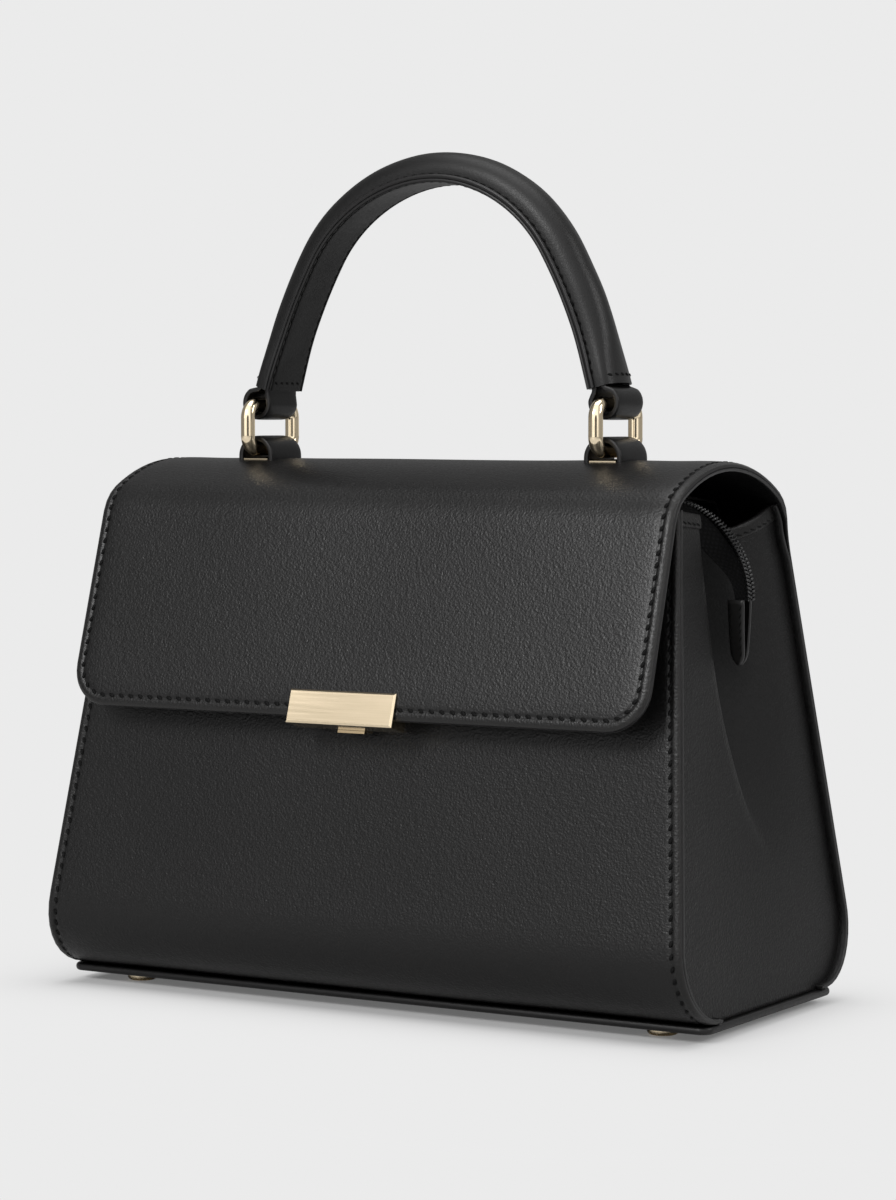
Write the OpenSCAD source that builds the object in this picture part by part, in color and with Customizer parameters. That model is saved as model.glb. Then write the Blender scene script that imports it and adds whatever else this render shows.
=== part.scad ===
// Structured top handle bag: rolled handle on oval rings, arched flap with a push lock,
// pleated side gussets and a zip that closes the mouth under the flap.
// Front faces -Y, +X is the wearer's right hand side seen from the front, +Z is up.
// The origin lies on the floor, under the middle of the whole depth with the lock bar.

/* [Body] */
// Width across the panels' edges where they meet the base
panel_w = 290; // [240:1:330]
// Width across the panels' edges at the mouth
mouth_w = 253; // [215:1:290]
// Height of the mouth above the floor
mouth_z = 194; // [165:1:230]
// Depth of the body at the base, if the panels ran straight down
base_depth = 153; // [130:1:175]
// Depth of the body at the mouth
mouth_depth = 88; // [76:1:104]
// Radius with which the panels roll under to the base
roll_r = 26; // [18:1:32]
// Thickness of the panel leather
leather_t = 2; // [1.6:0.1:2.4]
// Thickness of the gusset leather
gusset_t = 1.4; // [1:0.1:1.6]
// Thickness of the lining cloth
lining_t = 0.9; // [0.6:0.1:1.2]
// Thickness of the covered base board
base_t = 3; // [2:0.5:4]
// How far the base stays inside the panels' width at each end
base_lip = 0.75; // [0.5:0.25:2]
// How far the base reaches out under the rolled panels
base_reach = 8.2; // [4:0.2:10]

/* [Gusset] */
// How far the gusset lies inside the panels' edges
gusset_inset = 3; // [2:0.5:5]
// Depth of the pleat at the mouth
pleat_d = 18; // [8:1:22]
// Height at which the pleat has died out
pleat_end_z = 55; // [40:1:80]
// Height of the sewn band along the gusset's top
band_h = 5.5; // [4:0.5:8]

/* [Flap] */
// Width of the flap
flap_w = 258; // [225:1:290]
// Height of the flap's lower edge above the floor
flap_low_z = 114.6; // [100:1:130]
// Height of the flap's crest above the floor
crest_z = 210.8; // [205:0.2:225]
// Distance of the flap's lower edge in front of the middle of the bag
flap_front = 75.2; // [70:0.2:82]
// Lean of the flap's front from upright, in degrees
flap_lean = 16.6; // [12:0.2:20]
// Thickness of each of the flap's two layers
flap_t = 1.8; // [1.4:0.1:2.2]
// Radius of the flap's lower corners
flap_corner_r = 16; // [8:1:24]
// Radius of the crest across the bag
crest_r = 80; // [65:1:100]
// Radius of the two shoulders beside the crest
shoulder_r = 19; // [12:1:22]

/* [Handle] */
// Distance between the two rings
ring_span = 158.6; // [130:0.2:180]
// Clear height of the handle's underside above the crest
handle_clear = 107.2; // [90:0.2:130]
// Radius of the handle's underside at the top
handle_r = 58; // [50:1:64]
// Radius of the handle's legs
leg_r = 220; // [180:1:300]
// Thickness of the handle
handle_t = 12.2; // [10:0.2:14]
// Width across the handle's sewn edges
handle_w = 22; // [18:0.5:26]

/* [Rings] */
// Thickness of the ring wire
wire_d = 5.6; // [4:0.2:6]
// Distance between the ring's long sides, centre to centre
ring_w = 31.6; // [30:0.2:36]
// Height of the ring, centre to centre
ring_h = 17.4; // [16:0.2:22]
// Thickness of the strap that holds a ring
strap_t = 2.2; // [1.8:0.1:2.4]
// Width of the lower loops
loop_w = 21; // [18:0.5:21]

/* [Lock] */
// Width of the lock bar
bar_w = 47.3; // [40:0.1:60]
// Height of the lock bar
bar_h = 13; // [12:0.1:15]
// Depth of the lock bar
bar_d = 10; // [9:0.1:11]
// Travel of the release tab
tab_travel = 1.2; // [0.8:0.1:1.4]

/* [Zip] */
// Height of the zip above the floor
zip_z = 196; // [195:0.5:197]
// Pitch of the zip's coil
coil_pitch = 2.5; // [2:0.1:3]
// Width of each half of the zip tape
tape_w = 9.5; // [8:0.5:11]

/* [Feet] */
// Height of the feet
foot_h = 3.5; // [2.5:0.5:6]
// Diameter of the feet
foot_d = 12; // [9:0.5:14]
// Distance of the feet from the middle, across the bag
foot_x = 118.7; // [90:0.1:122]
// Distance of the feet from the middle, front to back
foot_y = 39.8; // [32:0.1:44]

/* [Hidden] */
$fn = 48;

// Colours as the photograph shows them
leather_c = [0.16, 0.16, 0.16];
edge_c = [0.10, 0.10, 0.10];
cloth_c = [0.07, 0.07, 0.07];
gold_c = [0.89, 0.79, 0.61];

// Overrun of a cut past the face that it opens
over = 1;
// Gap between pieces that lie against each other in one body
fit_gap = 0.1;
// Gap between pieces of different bodies
run_gap = 0.3;
// Steps along an arc of the body's outline
arc_steps = 12;

// Body outline, worked out from the sizes above
base_z = foot_h + base_t;
half_low = base_depth / 2;
half_top = mouth_depth / 2;
lean = atan((half_low - half_top) / (mouth_z - base_z));
roll_z = base_z + roll_r;
roll_y = half_low - (roll_z + roll_r * sin(lean) - base_z) * tan(lean) - roll_r * cos(lean);
tuck = 3;
flap_total = 2 * flap_t;

function mix(a, b, t) = a + (b - a) * t;
function clamp(t) = min(1, max(0, t));
function smooth(t) = let (c = clamp(t)) c * c * (3 - 2 * c);
function half_w(z) = mix(panel_w / 2, mouth_w / 2, (z - base_z) / (mouth_z - base_z));

// Distance of a panel's face from the middle at height z, at depth off inside the leather
function panel_y(z, off) =
    z >= roll_z + (roll_r - off) * sin(lean)
        ? half_low - (z - base_z) * tan(lean) - off / cos(lean)
        : roll_y + sqrt(max(0, pow(roll_r - off, 2) - pow(min(0, z - roll_z), 2)));

// Outline of a panel's face in Y and Z, from its top edge down to its tucked end
function panel_face(top, off) = concat(
    [[panel_y(top, off), top]],
    [for (i = [0:arc_steps]) let (a = mix(lean, -90, i / arc_steps))
        [roll_y + (roll_r - off) * cos(a), roll_z + (roll_r - off) * sin(a)]],
    [[roll_y - tuck, base_z + off]]);

function reversed(p) = [for (i = [len(p) - 1:-1:0]) p[i]];

// Solid whose outline in Y and Z runs the whole width
module across(width) {
    rotate([90, 0, 90]) linear_extrude(height = width, center = true) children();
}

// The body's front view, as a solid that limits the panels
module front_view(grow) {
    rotate([90, 0, 0]) linear_extrude(height = 2 * base_depth, center = true)
        polygon([
            [-half_w(0) - grow, 0], [half_w(0) + grow, 0],
            [half_w(crest_z) + grow, crest_z], [-half_w(crest_z) - grow, crest_z]]);
}

module panel(top) {
    intersection() {
        across(2 * panel_w)
            polygon(concat(panel_face(top, 0), reversed(panel_face(top, leather_t))));
        front_view(0);
    }
}

// Lock layout: a frame that leans with the flap, its origin in the middle of the bar's face
bar_proud = 1.5;
bar_drop = 3.1;
face_up = [sin(flap_lean), cos(flap_lean)];
face_in = [cos(flap_lean), -sin(flap_lean)];
bar_mid = [-flap_front, flap_low_z] + bar_drop * face_up - bar_proud * face_in;
function lock_pt(d, h) = bar_mid + d * face_in + h * face_up;
case_gap = 0.8;
case_w = 34;
case_top = 7;
case_low = -4.6;
pocket_w = 13;
tongue_w = 10;
tongue_t = 1.8;
tongue_reach = 4.2;
tongue_h = 0.6;
pin_r = 1.2;
pin_x = 12.5;
case_mid_z = lock_pt(bar_d, 0)[1];
panel_lean_y = -panel_y(case_mid_z, 0);

module place_lock() {
    translate([0, bar_mid[0], bar_mid[1]]) rotate([-flap_lean, 0, 0]) children();
}

// Moves a piece so that the origin lies under the middle of the whole depth
depth_shift = -(lock_pt(0, -bar_h / 2)[0] + roll_y + roll_r) / 2;
module placed() {
    translate([0, depth_shift, 0]) children();
}

// Places a cut or a pin square to the front panel, at the lock's height
module square_to_panel() {
    translate([0, panel_lean_y, case_mid_z]) rotate([90 - lean, 0, 0]) children();
}

module front_panel() {
    color(leather_c) placed() difference() {
        mirror([0, 1, 0]) panel(mouth_z);
        for (s = [-1, 1]) translate([s * pin_x, 0, 0]) square_to_panel()
            cylinder(r = pin_r + fit_gap, h = 4 * leather_t, center = true);
    }
}

module back_panel() {
    color(leather_c) placed() intersection() {
        panel(mouth_z);
        // The upper edge is cut square to the leather, half a gap below the hinge line
        translate([0, hinge_y, hinge_z]) rotate([lean, 0, 0])
            translate([-panel_w, -base_depth, -2 * mouth_z - run_gap / 2])
                cube([2 * panel_w, 2 * base_depth, 2 * mouth_z]);
    }
}

// Base
base_half_w = half_w(base_z) - base_lip;
base_half_d = roll_y + base_reach;
base_corner = 5;
plinth_half_d = roll_y - tuck - fit_gap;

module rounded(w, d, r) {
    union() {
        square([w - 2 * r, d], center = true);
        square([w, d - 2 * r], center = true);
        for (sx = [-1, 1], sy = [-1, 1])
            translate([sx * (w / 2 - r), sy * (d / 2 - r)]) circle(r = r);
    }
}

shank_r = 1.6;
board_t = 2;
washer_t = 1;
washer_r = 5;
board_z = base_z + leather_t + fit_gap;
board_half_d = roll_y - 2 * fit_gap;
board_room = 2;
board_half_w = half_w(base_z) - gusset_inset - gusset_t - board_room;

module at_feet() {
    for (sx = [-1, 1], sy = [-1, 1]) translate([sx * foot_x, sy * foot_y, 0]) children();
}

module base_panel() {
    color(leather_c) placed() difference() {
        union() {
            translate([0, 0, foot_h]) linear_extrude(height = base_t)
                rounded(2 * base_half_w, 2 * base_half_d, base_corner);
            translate([0, 0, foot_h]) linear_extrude(height = base_t + leather_t)
                square([2 * base_half_w - 2 * base_corner, 2 * plinth_half_d], center = true);
        }
        at_feet() cylinder(r = shank_r + fit_gap, h = 2 * base_z);
    }
}

module base_board() {
    color([0.45, 0.38, 0.30]) placed() translate([0, 0, board_z]) difference() {
        linear_extrude(height = board_t) rounded(2 * board_half_w, 2 * board_half_d, base_corner);
        at_feet() translate([0, 0, -over])
            cylinder(r = shank_r + fit_gap, h = board_t + 2 * over);
    }
}

// A foot is a turned dome on a shank, flat where it stands
module feet() {
    rim = 0.22 * foot_h;
    flat_r = 0.36 * foot_d;
    color(gold_c) placed() at_feet() rotate_extrude() polygon(concat(
        [[0, 0], [flat_r, 0]],
        [for (i = [1:6]) let (a = mix(-90, 0, i / 6))
            [flat_r + (foot_d / 2 - flat_r) * cos(a), rim * 2 + rim * 2 * sin(a)]],
        [[foot_d / 2, foot_h - rim], [foot_d / 2 - rim, foot_h], [shank_r, foot_h],
         [shank_r, board_z + board_t + washer_t], [0, board_z + board_t + washer_t]]));
}

module foot_washers() {
    color([0.7, 0.7, 0.72]) placed() at_feet() translate([0, 0, board_z + board_t]) difference() {
        cylinder(r = washer_r, h = washer_t);
        translate([0, 0, -over]) cylinder(r = shank_r + fit_gap / 2, h = washer_t + 2 * over);
    }
}

// Gusset: one sheet whose section at each height is a flat band, a fold and a long return.
// Its edges turn out as seam allowances behind the panels.
crease_top_y = -23;
crease_low_y = 12;
fold_run = 8;
rear_band = 8;
mouth_dip = 8;
gusset_low = base_z + leather_t + fit_gap;
gusset_drop = 1;
gusset_top = mouth_z - gusset_drop;
roll_levels = 7;
levels = 17;
front_cols = 4;
fold_cols = 9;
back_cols = 7;

function pleat_share(z) = clamp((z - pleat_end_z) / (gusset_top - pleat_end_z));
function crease_y(z) = mix(crease_low_y, crease_top_y, 1 - pow(1 - pleat_share(z), 3));
function fold_shape(y, z, edge) =
    smooth((y - crease_y(z)) / fold_run)
    * smooth((edge - rear_band - y) / (edge - rear_band - crease_y(z) - fold_run));
function gusset_x(y, z, edge) =
    half_w(z) - gusset_inset - pleat_d * smooth(1.4 * pleat_share(z)) * fold_shape(y, z, edge);

function gusset_rows(z, edge) = let (c = min(crease_y(z), edge - fold_run - rear_band - over))
    concat(
        [for (i = [0:front_cols - 1]) mix(-edge, c, i / front_cols)],
        [for (i = [0:fold_cols - 1]) mix(c, c + fold_run, i / fold_cols)],
        [for (i = [0:back_cols]) mix(c + fold_run, edge, i / back_cols)]);

// Share of the gusset's height at level i: close together where the panels roll under
roll_share = (roll_r - leather_t - fit_gap) / (gusset_top - gusset_low);
band_share = 1 - band_h / (gusset_top - gusset_low);
function level_share(i) = i < roll_levels
    ? roll_share * (1 - cos(90 * i / roll_levels))
    : i == levels ? 1 : mix(roll_share, band_share, (i - roll_levels) / (levels - 1 - roll_levels));
// Height of a point at level v, dipped at the mouth where the sheet folds inwards
function dip_z(v, share) = mix(gusset_low, gusset_top, v) - mouth_dip * share * pow(v, 6);

// Room for the gusset behind the flap's lower end, which is thicker than the back panel
function rear_room(z) = z < hinge_z - flap_total
    ? panel_y(z, leather_t + fit_gap)
    : min(panel_y(z, leather_t + fit_gap), flap_inner_y(max(z, hinge_z)) - run_gap);

// Outer line of the right gusset at level v, with the seam allowances when out is true
function gusset_line(v, out) =
    let (z = mix(gusset_low, gusset_top, v), edge = panel_y(z, leather_t + fit_gap) - gusset_t,
         cut = edge + gusset_t - rear_room(z), rows = gusset_rows(z, edge))
    concat(
        out ? [[half_w(z) - fit_gap, -edge, z]] : [],
        [for (y = rows) let (x = gusset_x(y, z, edge))
            [x, y > 0 ? y * (edge - cut) / edge : y,
             dip_z(v, (half_w(z) - gusset_inset - x) / pleat_d)]],
        out ? [[half_w(z) - fit_gap, edge - cut, z]] : []);

// Unit normal in X and Y of a line, to its left seen from above
function unit2(v) = v / max(norm(v), 1e-9);
function side_of(a, b) = unit2([a[1] - b[1], b[0] - a[0]]);
function flat2(p) = [p[0], p[1]];
function shifted(line, d) = [for (i = [0:len(line) - 1])
    let (
        n1 = side_of(flat2(line[max(0, i - 1)]), flat2(line[max(1, i)])),
        n2 = side_of(flat2(line[min(len(line) - 2, i)]), flat2(line[min(len(line) - 1, i + 1)])),
        m = unit2(n1 + n2), k = d / max(0.6, m * n1))
    [line[i][0] + m[0] * k, line[i][1] + m[1] * k, line[i][2]]];

// Closed sheet between two grids of points with the same rows and columns
module sheet(face, back) {
    rows = len(face);
    cols = len(face[0]);
    count = rows * cols;
    points = concat([for (r = face) each r], [for (r = back) each r]);
    quads = [for (i = [0:rows - 2], j = [0:cols - 2])
        [i * cols + j, i * cols + j + 1, (i + 1) * cols + j + 1, (i + 1) * cols + j]];
    rim = concat(
        [for (j = [0:cols - 2]) [j, j + 1]],
        [for (i = [0:rows - 2]) [i * cols + cols - 1, (i + 1) * cols + cols - 1]],
        [for (j = [cols - 1:-1:1]) [(rows - 1) * cols + j, (rows - 1) * cols + j - 1]],
        [for (i = [rows - 1:-1:1]) [i * cols, (i - 1) * cols]]);
    polyhedron(points = points, faces = concat(
        [for (q = quads) [q[0], q[1], q[2]]], [for (q = quads) [q[0], q[2], q[3]]],
        [for (q = quads) [q[2] + count, q[1] + count, q[0] + count]],
        [for (q = quads) [q[3] + count, q[2] + count, q[0] + count]],
        [for (e = rim) [e[1], e[0], e[0] + count]],
        [for (e = rim) [e[1], e[0] + count, e[1] + count]]), convexity = 10);
}

module gusset() {
    face = [for (i = [0:levels]) gusset_line(level_share(i), true)];
    sheet([for (r = face) shifted(r, gusset_t)], face);
}

module gusset_band() {
    band_t = 0.9;
    face = [for (v = [band_share, 1]) shifted(gusset_line(v, false), -fit_gap)];
    sheet(face, [for (r = face) shifted(r, -band_t)]);
}

module gusset_right() { color(leather_c) placed() gusset(); }
module gusset_left() { color(leather_c) placed() mirror([1, 0, 0]) gusset(); }
module gusset_band_right() { color(edge_c) placed() gusset_band(); }
module gusset_band_left() { color(edge_c) placed() mirror([1, 0, 0]) gusset_band(); }

// Lining: an open tub with straight walls, clear of the leather and of the pleats' valleys
lining_room = 1.8;
lining_low = board_z + board_t + washer_t + 2 * fit_gap;
lining_drop = 12.2;
lining_top = mouth_z - lining_drop;
lining_steps = 5;

// Half width of the tub at height z, inside the deepest point of the pleat
function lining_x(z) = half_w(z) - gusset_inset - gusset_t - lining_room
    - pleat_d * smooth(1.4 * pleat_share(z));

// Solid with the tub's outline at distance off inside it, from height low up to height top
module tub(off, low, top) {
    side = panel_face(top, leather_t + lining_room + off);
    zs = concat([lining_low], [for (i = [0:lining_steps]) mix(pleat_end_z, lining_top, i / lining_steps)]);
    right = concat(
        [[lining_x(lining_low) - off, 0]], [for (z = zs) [lining_x(z) - off, z]],
        [[lining_x(lining_top) - off, top]]);
    intersection() {
        across(2 * panel_w) polygon(concat(side, reversed([for (q = side) [-q[0], q[1]]])));
        rotate([90, 0, 0]) linear_extrude(height = base_depth, center = true)
            polygon(concat(right, reversed([for (q = right) [-q[0], q[1]]])));
        translate([-panel_w, -base_depth, low]) cube([2 * panel_w, 2 * base_depth, top - low]);
    }
}

module lining() {
    color(cloth_c) placed() difference() {
        tub(0, lining_low, lining_top);
        tub(lining_t, lining_low + lining_t, lining_top + over);
    }
}

// Flap outline: front run, two shoulders and the crest, all tangent to each other
carry_y = -5;
crest_c = [carry_y, crest_z - crest_r];
front_foot = [-flap_front, flap_low_z];

// Middle of a shoulder that touches the crest and a straight run with inner normal n
function shoulder_c(p, n, up) =
    let (q = p + shoulder_r * n - crest_c, b = q * up, c = q * q - pow(crest_r - shoulder_r, 2))
    p + shoulder_r * n + (-b + sqrt(b * b - c)) * up;
rear_up = [-sin(lean), cos(lean)];
rear_in = [-cos(lean), -sin(lean)];
front_c = shoulder_c(front_foot, face_in, face_up);
rear_c = shoulder_c([half_top, mouth_z], rear_in, rear_up);
// Hinge line of the flap: on the outer face of the back panel, where the rear shoulder starts
hinge_z = rear_c[1] + shoulder_r * sin(lean) - run_gap;
hinge_y = panel_y(hinge_z, 0);

function heading(c) = atan2(c[1] - crest_c[1], c[0] - crest_c[0]);

function arc_pts(c, r, a0, a1, n) = [for (i = [0:n]) let (a = mix(a0, a1, i / n))
    [c[0] + r * cos(a), c[1] + r * sin(a)]];

// Face of the flap at depth off, from the hinge over the crest down to the lower edge
function flap_face(off) = concat(
    [[hinge_y, hinge_z] + off * rear_in + (run_gap / 2) * rear_up],
    arc_pts(rear_c, shoulder_r - off, lean, heading(rear_c), 7),
    arc_pts(crest_c, crest_r - off, heading(rear_c), heading(front_c), 12),
    arc_pts(front_c, shoulder_r - off, heading(front_c), 180 - flap_lean, 7),
    [front_foot + off * face_in - over * face_up]);

// Distance of the flap's inner face behind the middle, at height z in the rear shoulder
function flap_inner_y(z) = let (r = shoulder_r - flap_total, d = z - rear_c[1])
    d < r * sin(lean)
        ? panel_y(z, flap_total)
        : rear_c[0] + sqrt(max(0, r * r - d * d));

module flap_shell(off, t) {
    across(flap_w) polygon(concat(flap_face(off), reversed(flap_face(off + t))));
}

// The flap's outline in the plane of its front, with rounded lower corners
module flap_outline() {
    steps = 10;
    inner = flap_w / 2 - flap_corner_r;
    corner = [for (i = [0:steps]) flap_corner_r * [cos(90 * i / steps), -sin(90 * i / steps)]];
    right = [for (p = corner) p + [inner, flap_corner_r]];
    translate([0, -flap_front, flap_low_z]) rotate([90 - flap_lean, 0, 0])
        linear_extrude(height = 4 * base_depth, center = true)
            polygon(concat(
                [[flap_w / 2, crest_z]], right,
                reversed([for (p = right) [-p[0], p[1]]]), [[-flap_w / 2, crest_z]]));
}

ring_x = ring_span / 2;
wire_r = wire_d / 2;
seat_t = 0.5;
loop_out_r = 8.2;
loop_in_r = loop_out_r - strap_t;
low_bar_z = crest_z + seat_t + run_gap + wire_r;
loop_z = low_bar_z + wire_r + run_gap - loop_in_r;
top_bar_z = low_bar_z + ring_h;

module loop_slots() {
    for (s = [-1, 1], e = [-1, 1])
        translate([s * ring_x + e * (loop_out_r - strap_t / 2), carry_y, crest_z])
            cube([strap_t + fit_gap, loop_w + fit_gap, 4 * flap_total], center = true);
}

module flap_outer() {
    color(leather_c) placed() difference() {
        intersection() {
            flap_shell(0, flap_t);
            flap_outline();
        }
        loop_slots();
    }
}

module flap_lining() {
    color(edge_c) placed() difference() {
        intersection() {
            flap_shell(flap_t, flap_t);
            flap_outline();
        }
        loop_slots();
    }
}

// Lock bar: a block that clasps the flap's lower edge, with bevelled front edges
module lock_bar() {
    bevel = 0.7;
    color(gold_c) placed() place_lock() difference() {
        translate([0, bar_d / 2, 0]) cube([bar_w, bar_d, bar_h], center = true);
        translate([-bar_w / 2 - over, bar_proud - fit_gap / 2, -bar_drop - fit_gap / 2])
            cube([bar_w + 2 * over, flap_total + fit_gap, bar_h]);
        for (s = [-1, 1]) {
            translate([s * bar_w / 2, 0, 0]) rotate([0, 0, 45])
                cube([bevel * sqrt(2), bevel * sqrt(2), 2 * bar_h], center = true);
            translate([0, 0, s * bar_h / 2]) rotate([45, 0, 0])
                cube([2 * bar_w, bevel * sqrt(2), bevel * sqrt(2)], center = true);
        }
    }
}

// Tongue: a flat hook on the back of the bar, with a notch for the catch
module lock_tongue() {
    notch = 3.4;
    notch_d = 1.2;
    color(gold_c) placed() place_lock() translate([0, bar_d, tongue_h]) difference() {
        union() {
            translate([-tongue_w / 2, 0, -tongue_t / 2]) cube([tongue_w, tongue_reach, tongue_t]);
            translate([-tongue_w / 2, 0, -1.5 * tongue_t])
                cube([tongue_w, case_gap - run_gap, 3 * tongue_t]);
        }
        translate([-notch / 2, tongue_reach - notch_d, -tongue_t])
            cube([notch, tongue_reach, 2 * tongue_t]);
    }
}

// Lock case: a wedge between the bar's back and the front panel, open for the tongue
case_face = bar_d + case_gap;
tab_w = 12;
tab_t = 1.6;
tab_low = case_low - run_gap - tab_t;
catch_w = 6;
catch_t = 1.3;
catch_d = case_face + tongue_reach - case_gap + run_gap + 2 * fit_gap;
spring_room = 0.6;

function on_panel(z, gap) = [-panel_y(z, 0) - gap, z];

module lock_case() {
    low_f = lock_pt(case_face, case_low);
    top_f = lock_pt(case_face, case_top);
    color(gold_c) placed() difference() {
        across(case_w) polygon([
            low_f, top_f, on_panel(top_f[1], fit_gap / 2), on_panel(low_f[1], fit_gap / 2)]);
        // Mouth for the tongue, open to the front and the top
        place_lock() translate([-pocket_w / 2, case_face - over, tongue_h - tongue_t / 2 - run_gap])
            cube([pocket_w, tongue_reach - case_gap + over + run_gap + fit_gap, 2 * case_top]);
        // Pocket for the catch and its spring, open below
        place_lock() translate([-(catch_w / 2 + run_gap), catch_d - run_gap, case_low - over])
            cube([catch_w + 2 * run_gap, catch_t + tab_travel + 2 * run_gap + spring_room,
                  over - case_low + tongue_h + tongue_t]);
        for (s = [-1, 1]) translate([s * pin_x, 0, 0]) square_to_panel()
            cylinder(r = pin_r + fit_gap / 2, h = 2 * leather_t, center = true);
    }
}

// Release tab: a lip under the case that carries the catch behind the tongue
module release_tab() {
    lip_d = bar_d + run_gap + fit_gap;
    lip_t = 1.6;
    lip_drop = 1.1;
    color(gold_c) placed() place_lock() union() {
        translate([-tab_w / 2, lip_d, tab_low - lip_drop]) cube([tab_w, lip_t, tab_t + lip_drop]);
        translate([-tab_w / 2, lip_d, tab_low])
            cube([tab_w, catch_d + catch_t - lip_d, tab_t]);
        translate([-catch_w / 2, catch_d, tab_low])
            cube([catch_w, catch_t, tongue_h + tongue_t / 2 - tab_low]);
    }
}

module lock_spring() {
    leaf = 0.3;
    foot = 1;
    color([0.75, 0.75, 0.78]) placed() place_lock()
        translate([-catch_w / 4, catch_d + catch_t + fit_gap, case_low + foot])
            cube([catch_w / 2, leaf, tongue_h - case_low]);
}

module lock_backplate() {
    plate_w = 32;
    plate_h = 10;
    plate_t = 1;
    corner = 2;
    color([0.7, 0.7, 0.72]) placed() square_to_panel()
        translate([0, 0, -leather_t - fit_gap - plate_t]) difference() {
            linear_extrude(height = plate_t) rounded(plate_w, plate_h, corner);
            for (s = [-1, 1]) translate([s * pin_x, 0, -over])
                cylinder(r = pin_r + fit_gap / 2, h = plate_t + 2 * over);
        }
}

module lock_rivets() {
    inside = 1.6;
    color([0.7, 0.7, 0.72]) placed() for (s = [-1, 1]) translate([s * pin_x, 0, 0]) square_to_panel()
        translate([0, 0, -leather_t - inside])
            cylinder(r = pin_r, h = leather_t + inside + leather_t / 2);
}

// Lower loop: a strap that arches over the ring's lower bar and runs through the flap
module ring_loop() {
    legs = loop_z - (crest_z - flap_total);
    color(leather_c) placed() translate([ring_x, carry_y, loop_z]) rotate([90, 0, 0])
        linear_extrude(height = loop_w, center = true) difference() {
            union() {
                circle(r = loop_out_r);
                translate([-loop_out_r, -legs]) square([2 * loop_out_r, legs]);
            }
            circle(r = loop_in_r);
            translate([-loop_in_r, -2 * legs]) square([2 * loop_in_r, 2 * legs]);
            translate([-2 * loop_out_r, -2 * legs - loop_out_r])
                square([4 * loop_out_r, legs + loop_out_r]);
        }
}

// Polished plate that lies on the flap inside the loop
module loop_seat() {
    color(gold_c) placed() translate([ring_x, 0, 0]) intersection() {
        across(2 * (loop_in_r - run_gap))
            polygon(concat(flap_face(-seat_t), reversed(flap_face(0))));
        translate([0, carry_y, crest_z]) cube([flap_w, loop_w, 4 * flap_total], center = true);
    }
}

// Plate under the flap that the loop's ends are sewn and glued to
module loop_anchor() {
    anchor_t = 0.8;
    lip = 4;
    end_lip = 1.5;
    color([0.7, 0.7, 0.72]) placed() translate([ring_x, 0, 0]) intersection() {
        across(2 * (loop_out_r + lip)) polygon(concat(
            flap_face(flap_total), reversed(flap_face(flap_total + anchor_t))));
        translate([0, carry_y, crest_z])
            cube([flap_w, loop_w + 2 * end_lip, 6 * flap_total], center = true);
    }
}

module ring_loop_right() { ring_loop(); }
module ring_loop_left() { mirror([1, 0, 0]) ring_loop(); }
module loop_seat_right() { loop_seat(); }
module loop_seat_left() { mirror([1, 0, 0]) loop_seat(); }
module loop_anchor_right() { loop_anchor(); }
module loop_anchor_left() { mirror([1, 0, 0]) loop_anchor(); }

// Ring: round wire bent to an oblong with round corners, in the plane across the handle
ring_bend = 5.2;
module ring() {
    run_y = ring_w / 2 - ring_bend;
    run_z = ring_h / 2 - ring_bend;
    middle = [ring_x, carry_y, low_bar_z + ring_h / 2];
    color(gold_c) placed() translate(middle) rotate([90, 0, 90]) union() {
        for (sy = [-1, 1]) {
            translate([sy * ring_w / 2, 0, 0]) rotate([90, 0, 0])
                cylinder(r = wire_r, h = 2 * run_z, center = true);
            translate([0, sy * ring_h / 2, 0]) rotate([0, 90, 0])
                cylinder(r = wire_r, h = 2 * run_y, center = true);
        }
        for (q = [0:3]) let (sx = q == 0 || q == 3 ? 1 : -1, sy = q < 2 ? 1 : -1)
            translate([sx * run_y, sy * run_z, 0]) rotate([0, 0, 90 * q])
                rotate_extrude(angle = 90) translate([ring_bend, 0]) circle(r = wire_r);
    }
}
module ring_right() { ring(); }
module ring_left() { mirror([1, 0, 0]) ring(); }

// Handle: a crest arc and two legs of larger radius, tangent where they meet
crest_turn = 60;
leg_turn = 14.6;
under_z = crest_z + handle_clear;
arc_c = [0, under_z - handle_r];
leg_c = arc_c + (handle_r - leg_r) * [sin(crest_turn), cos(crest_turn)];
strip_t = 1.6;
skin_t = 1.6;
seam_edge = 1.7;
roll_half_w = handle_w / 2 - seam_edge;
function leg_pt(s, turn) = leg_c + (leg_r + s) * [sin(turn), cos(turn)];

// Half an oval standing on the strip, as points from one side to the other
function roll_line(inset, n) = [for (i = [0:n]) let (a = 180 * i / n)
    [2 * strip_t + (handle_t - 2 * strip_t - inset) * sin(a), (roll_half_w - inset) * cos(a)]];

// Point of the handle at signed turn t from its top, at distance s from its inner face
function handle_pt(s, t) = abs(t) <= crest_turn
    ? arc_c + (handle_r + s) * [sin(t), cos(t)]
    : [sign(t) * leg_c[0], leg_c[1]] + (leg_r + s) * [sin(t), cos(t)];

// Sweeps a section, given as distance outwards and across, from one leg's end to the other
module along_handle(section, end_turn) {
    n = 20;
    m = 6;
    turns = concat(
        [for (i = [0:m - 1]) crest_turn + end_turn * (1 - i / m)],
        [for (i = [0:n]) crest_turn * (1 - 2 * i / n)],
        [for (i = [1:m]) -crest_turn - end_turn * i / m]);
    k = len(section);
    last = (len(turns) - 1) * k;
    polyhedron(
        points = [for (t = turns, q = section) let (p = handle_pt(q[0], t))
            [p[0], carry_y + q[1], p[1]]],
        faces = concat(
            [for (i = [0:len(turns) - 2], j = [0:k - 1])
                [i * k + (j + 1) % k, i * k + j, (i + 1) * k + j]],
            [for (i = [0:len(turns) - 2], j = [0:k - 1])
                [i * k + (j + 1) % k, (i + 1) * k + j, (i + 1) * k + (j + 1) % k]],
            [[for (j = [0:k - 1]) j]],
            [[for (j = [k - 1:-1:0]) last + j]]), convexity = 10);
}

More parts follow.
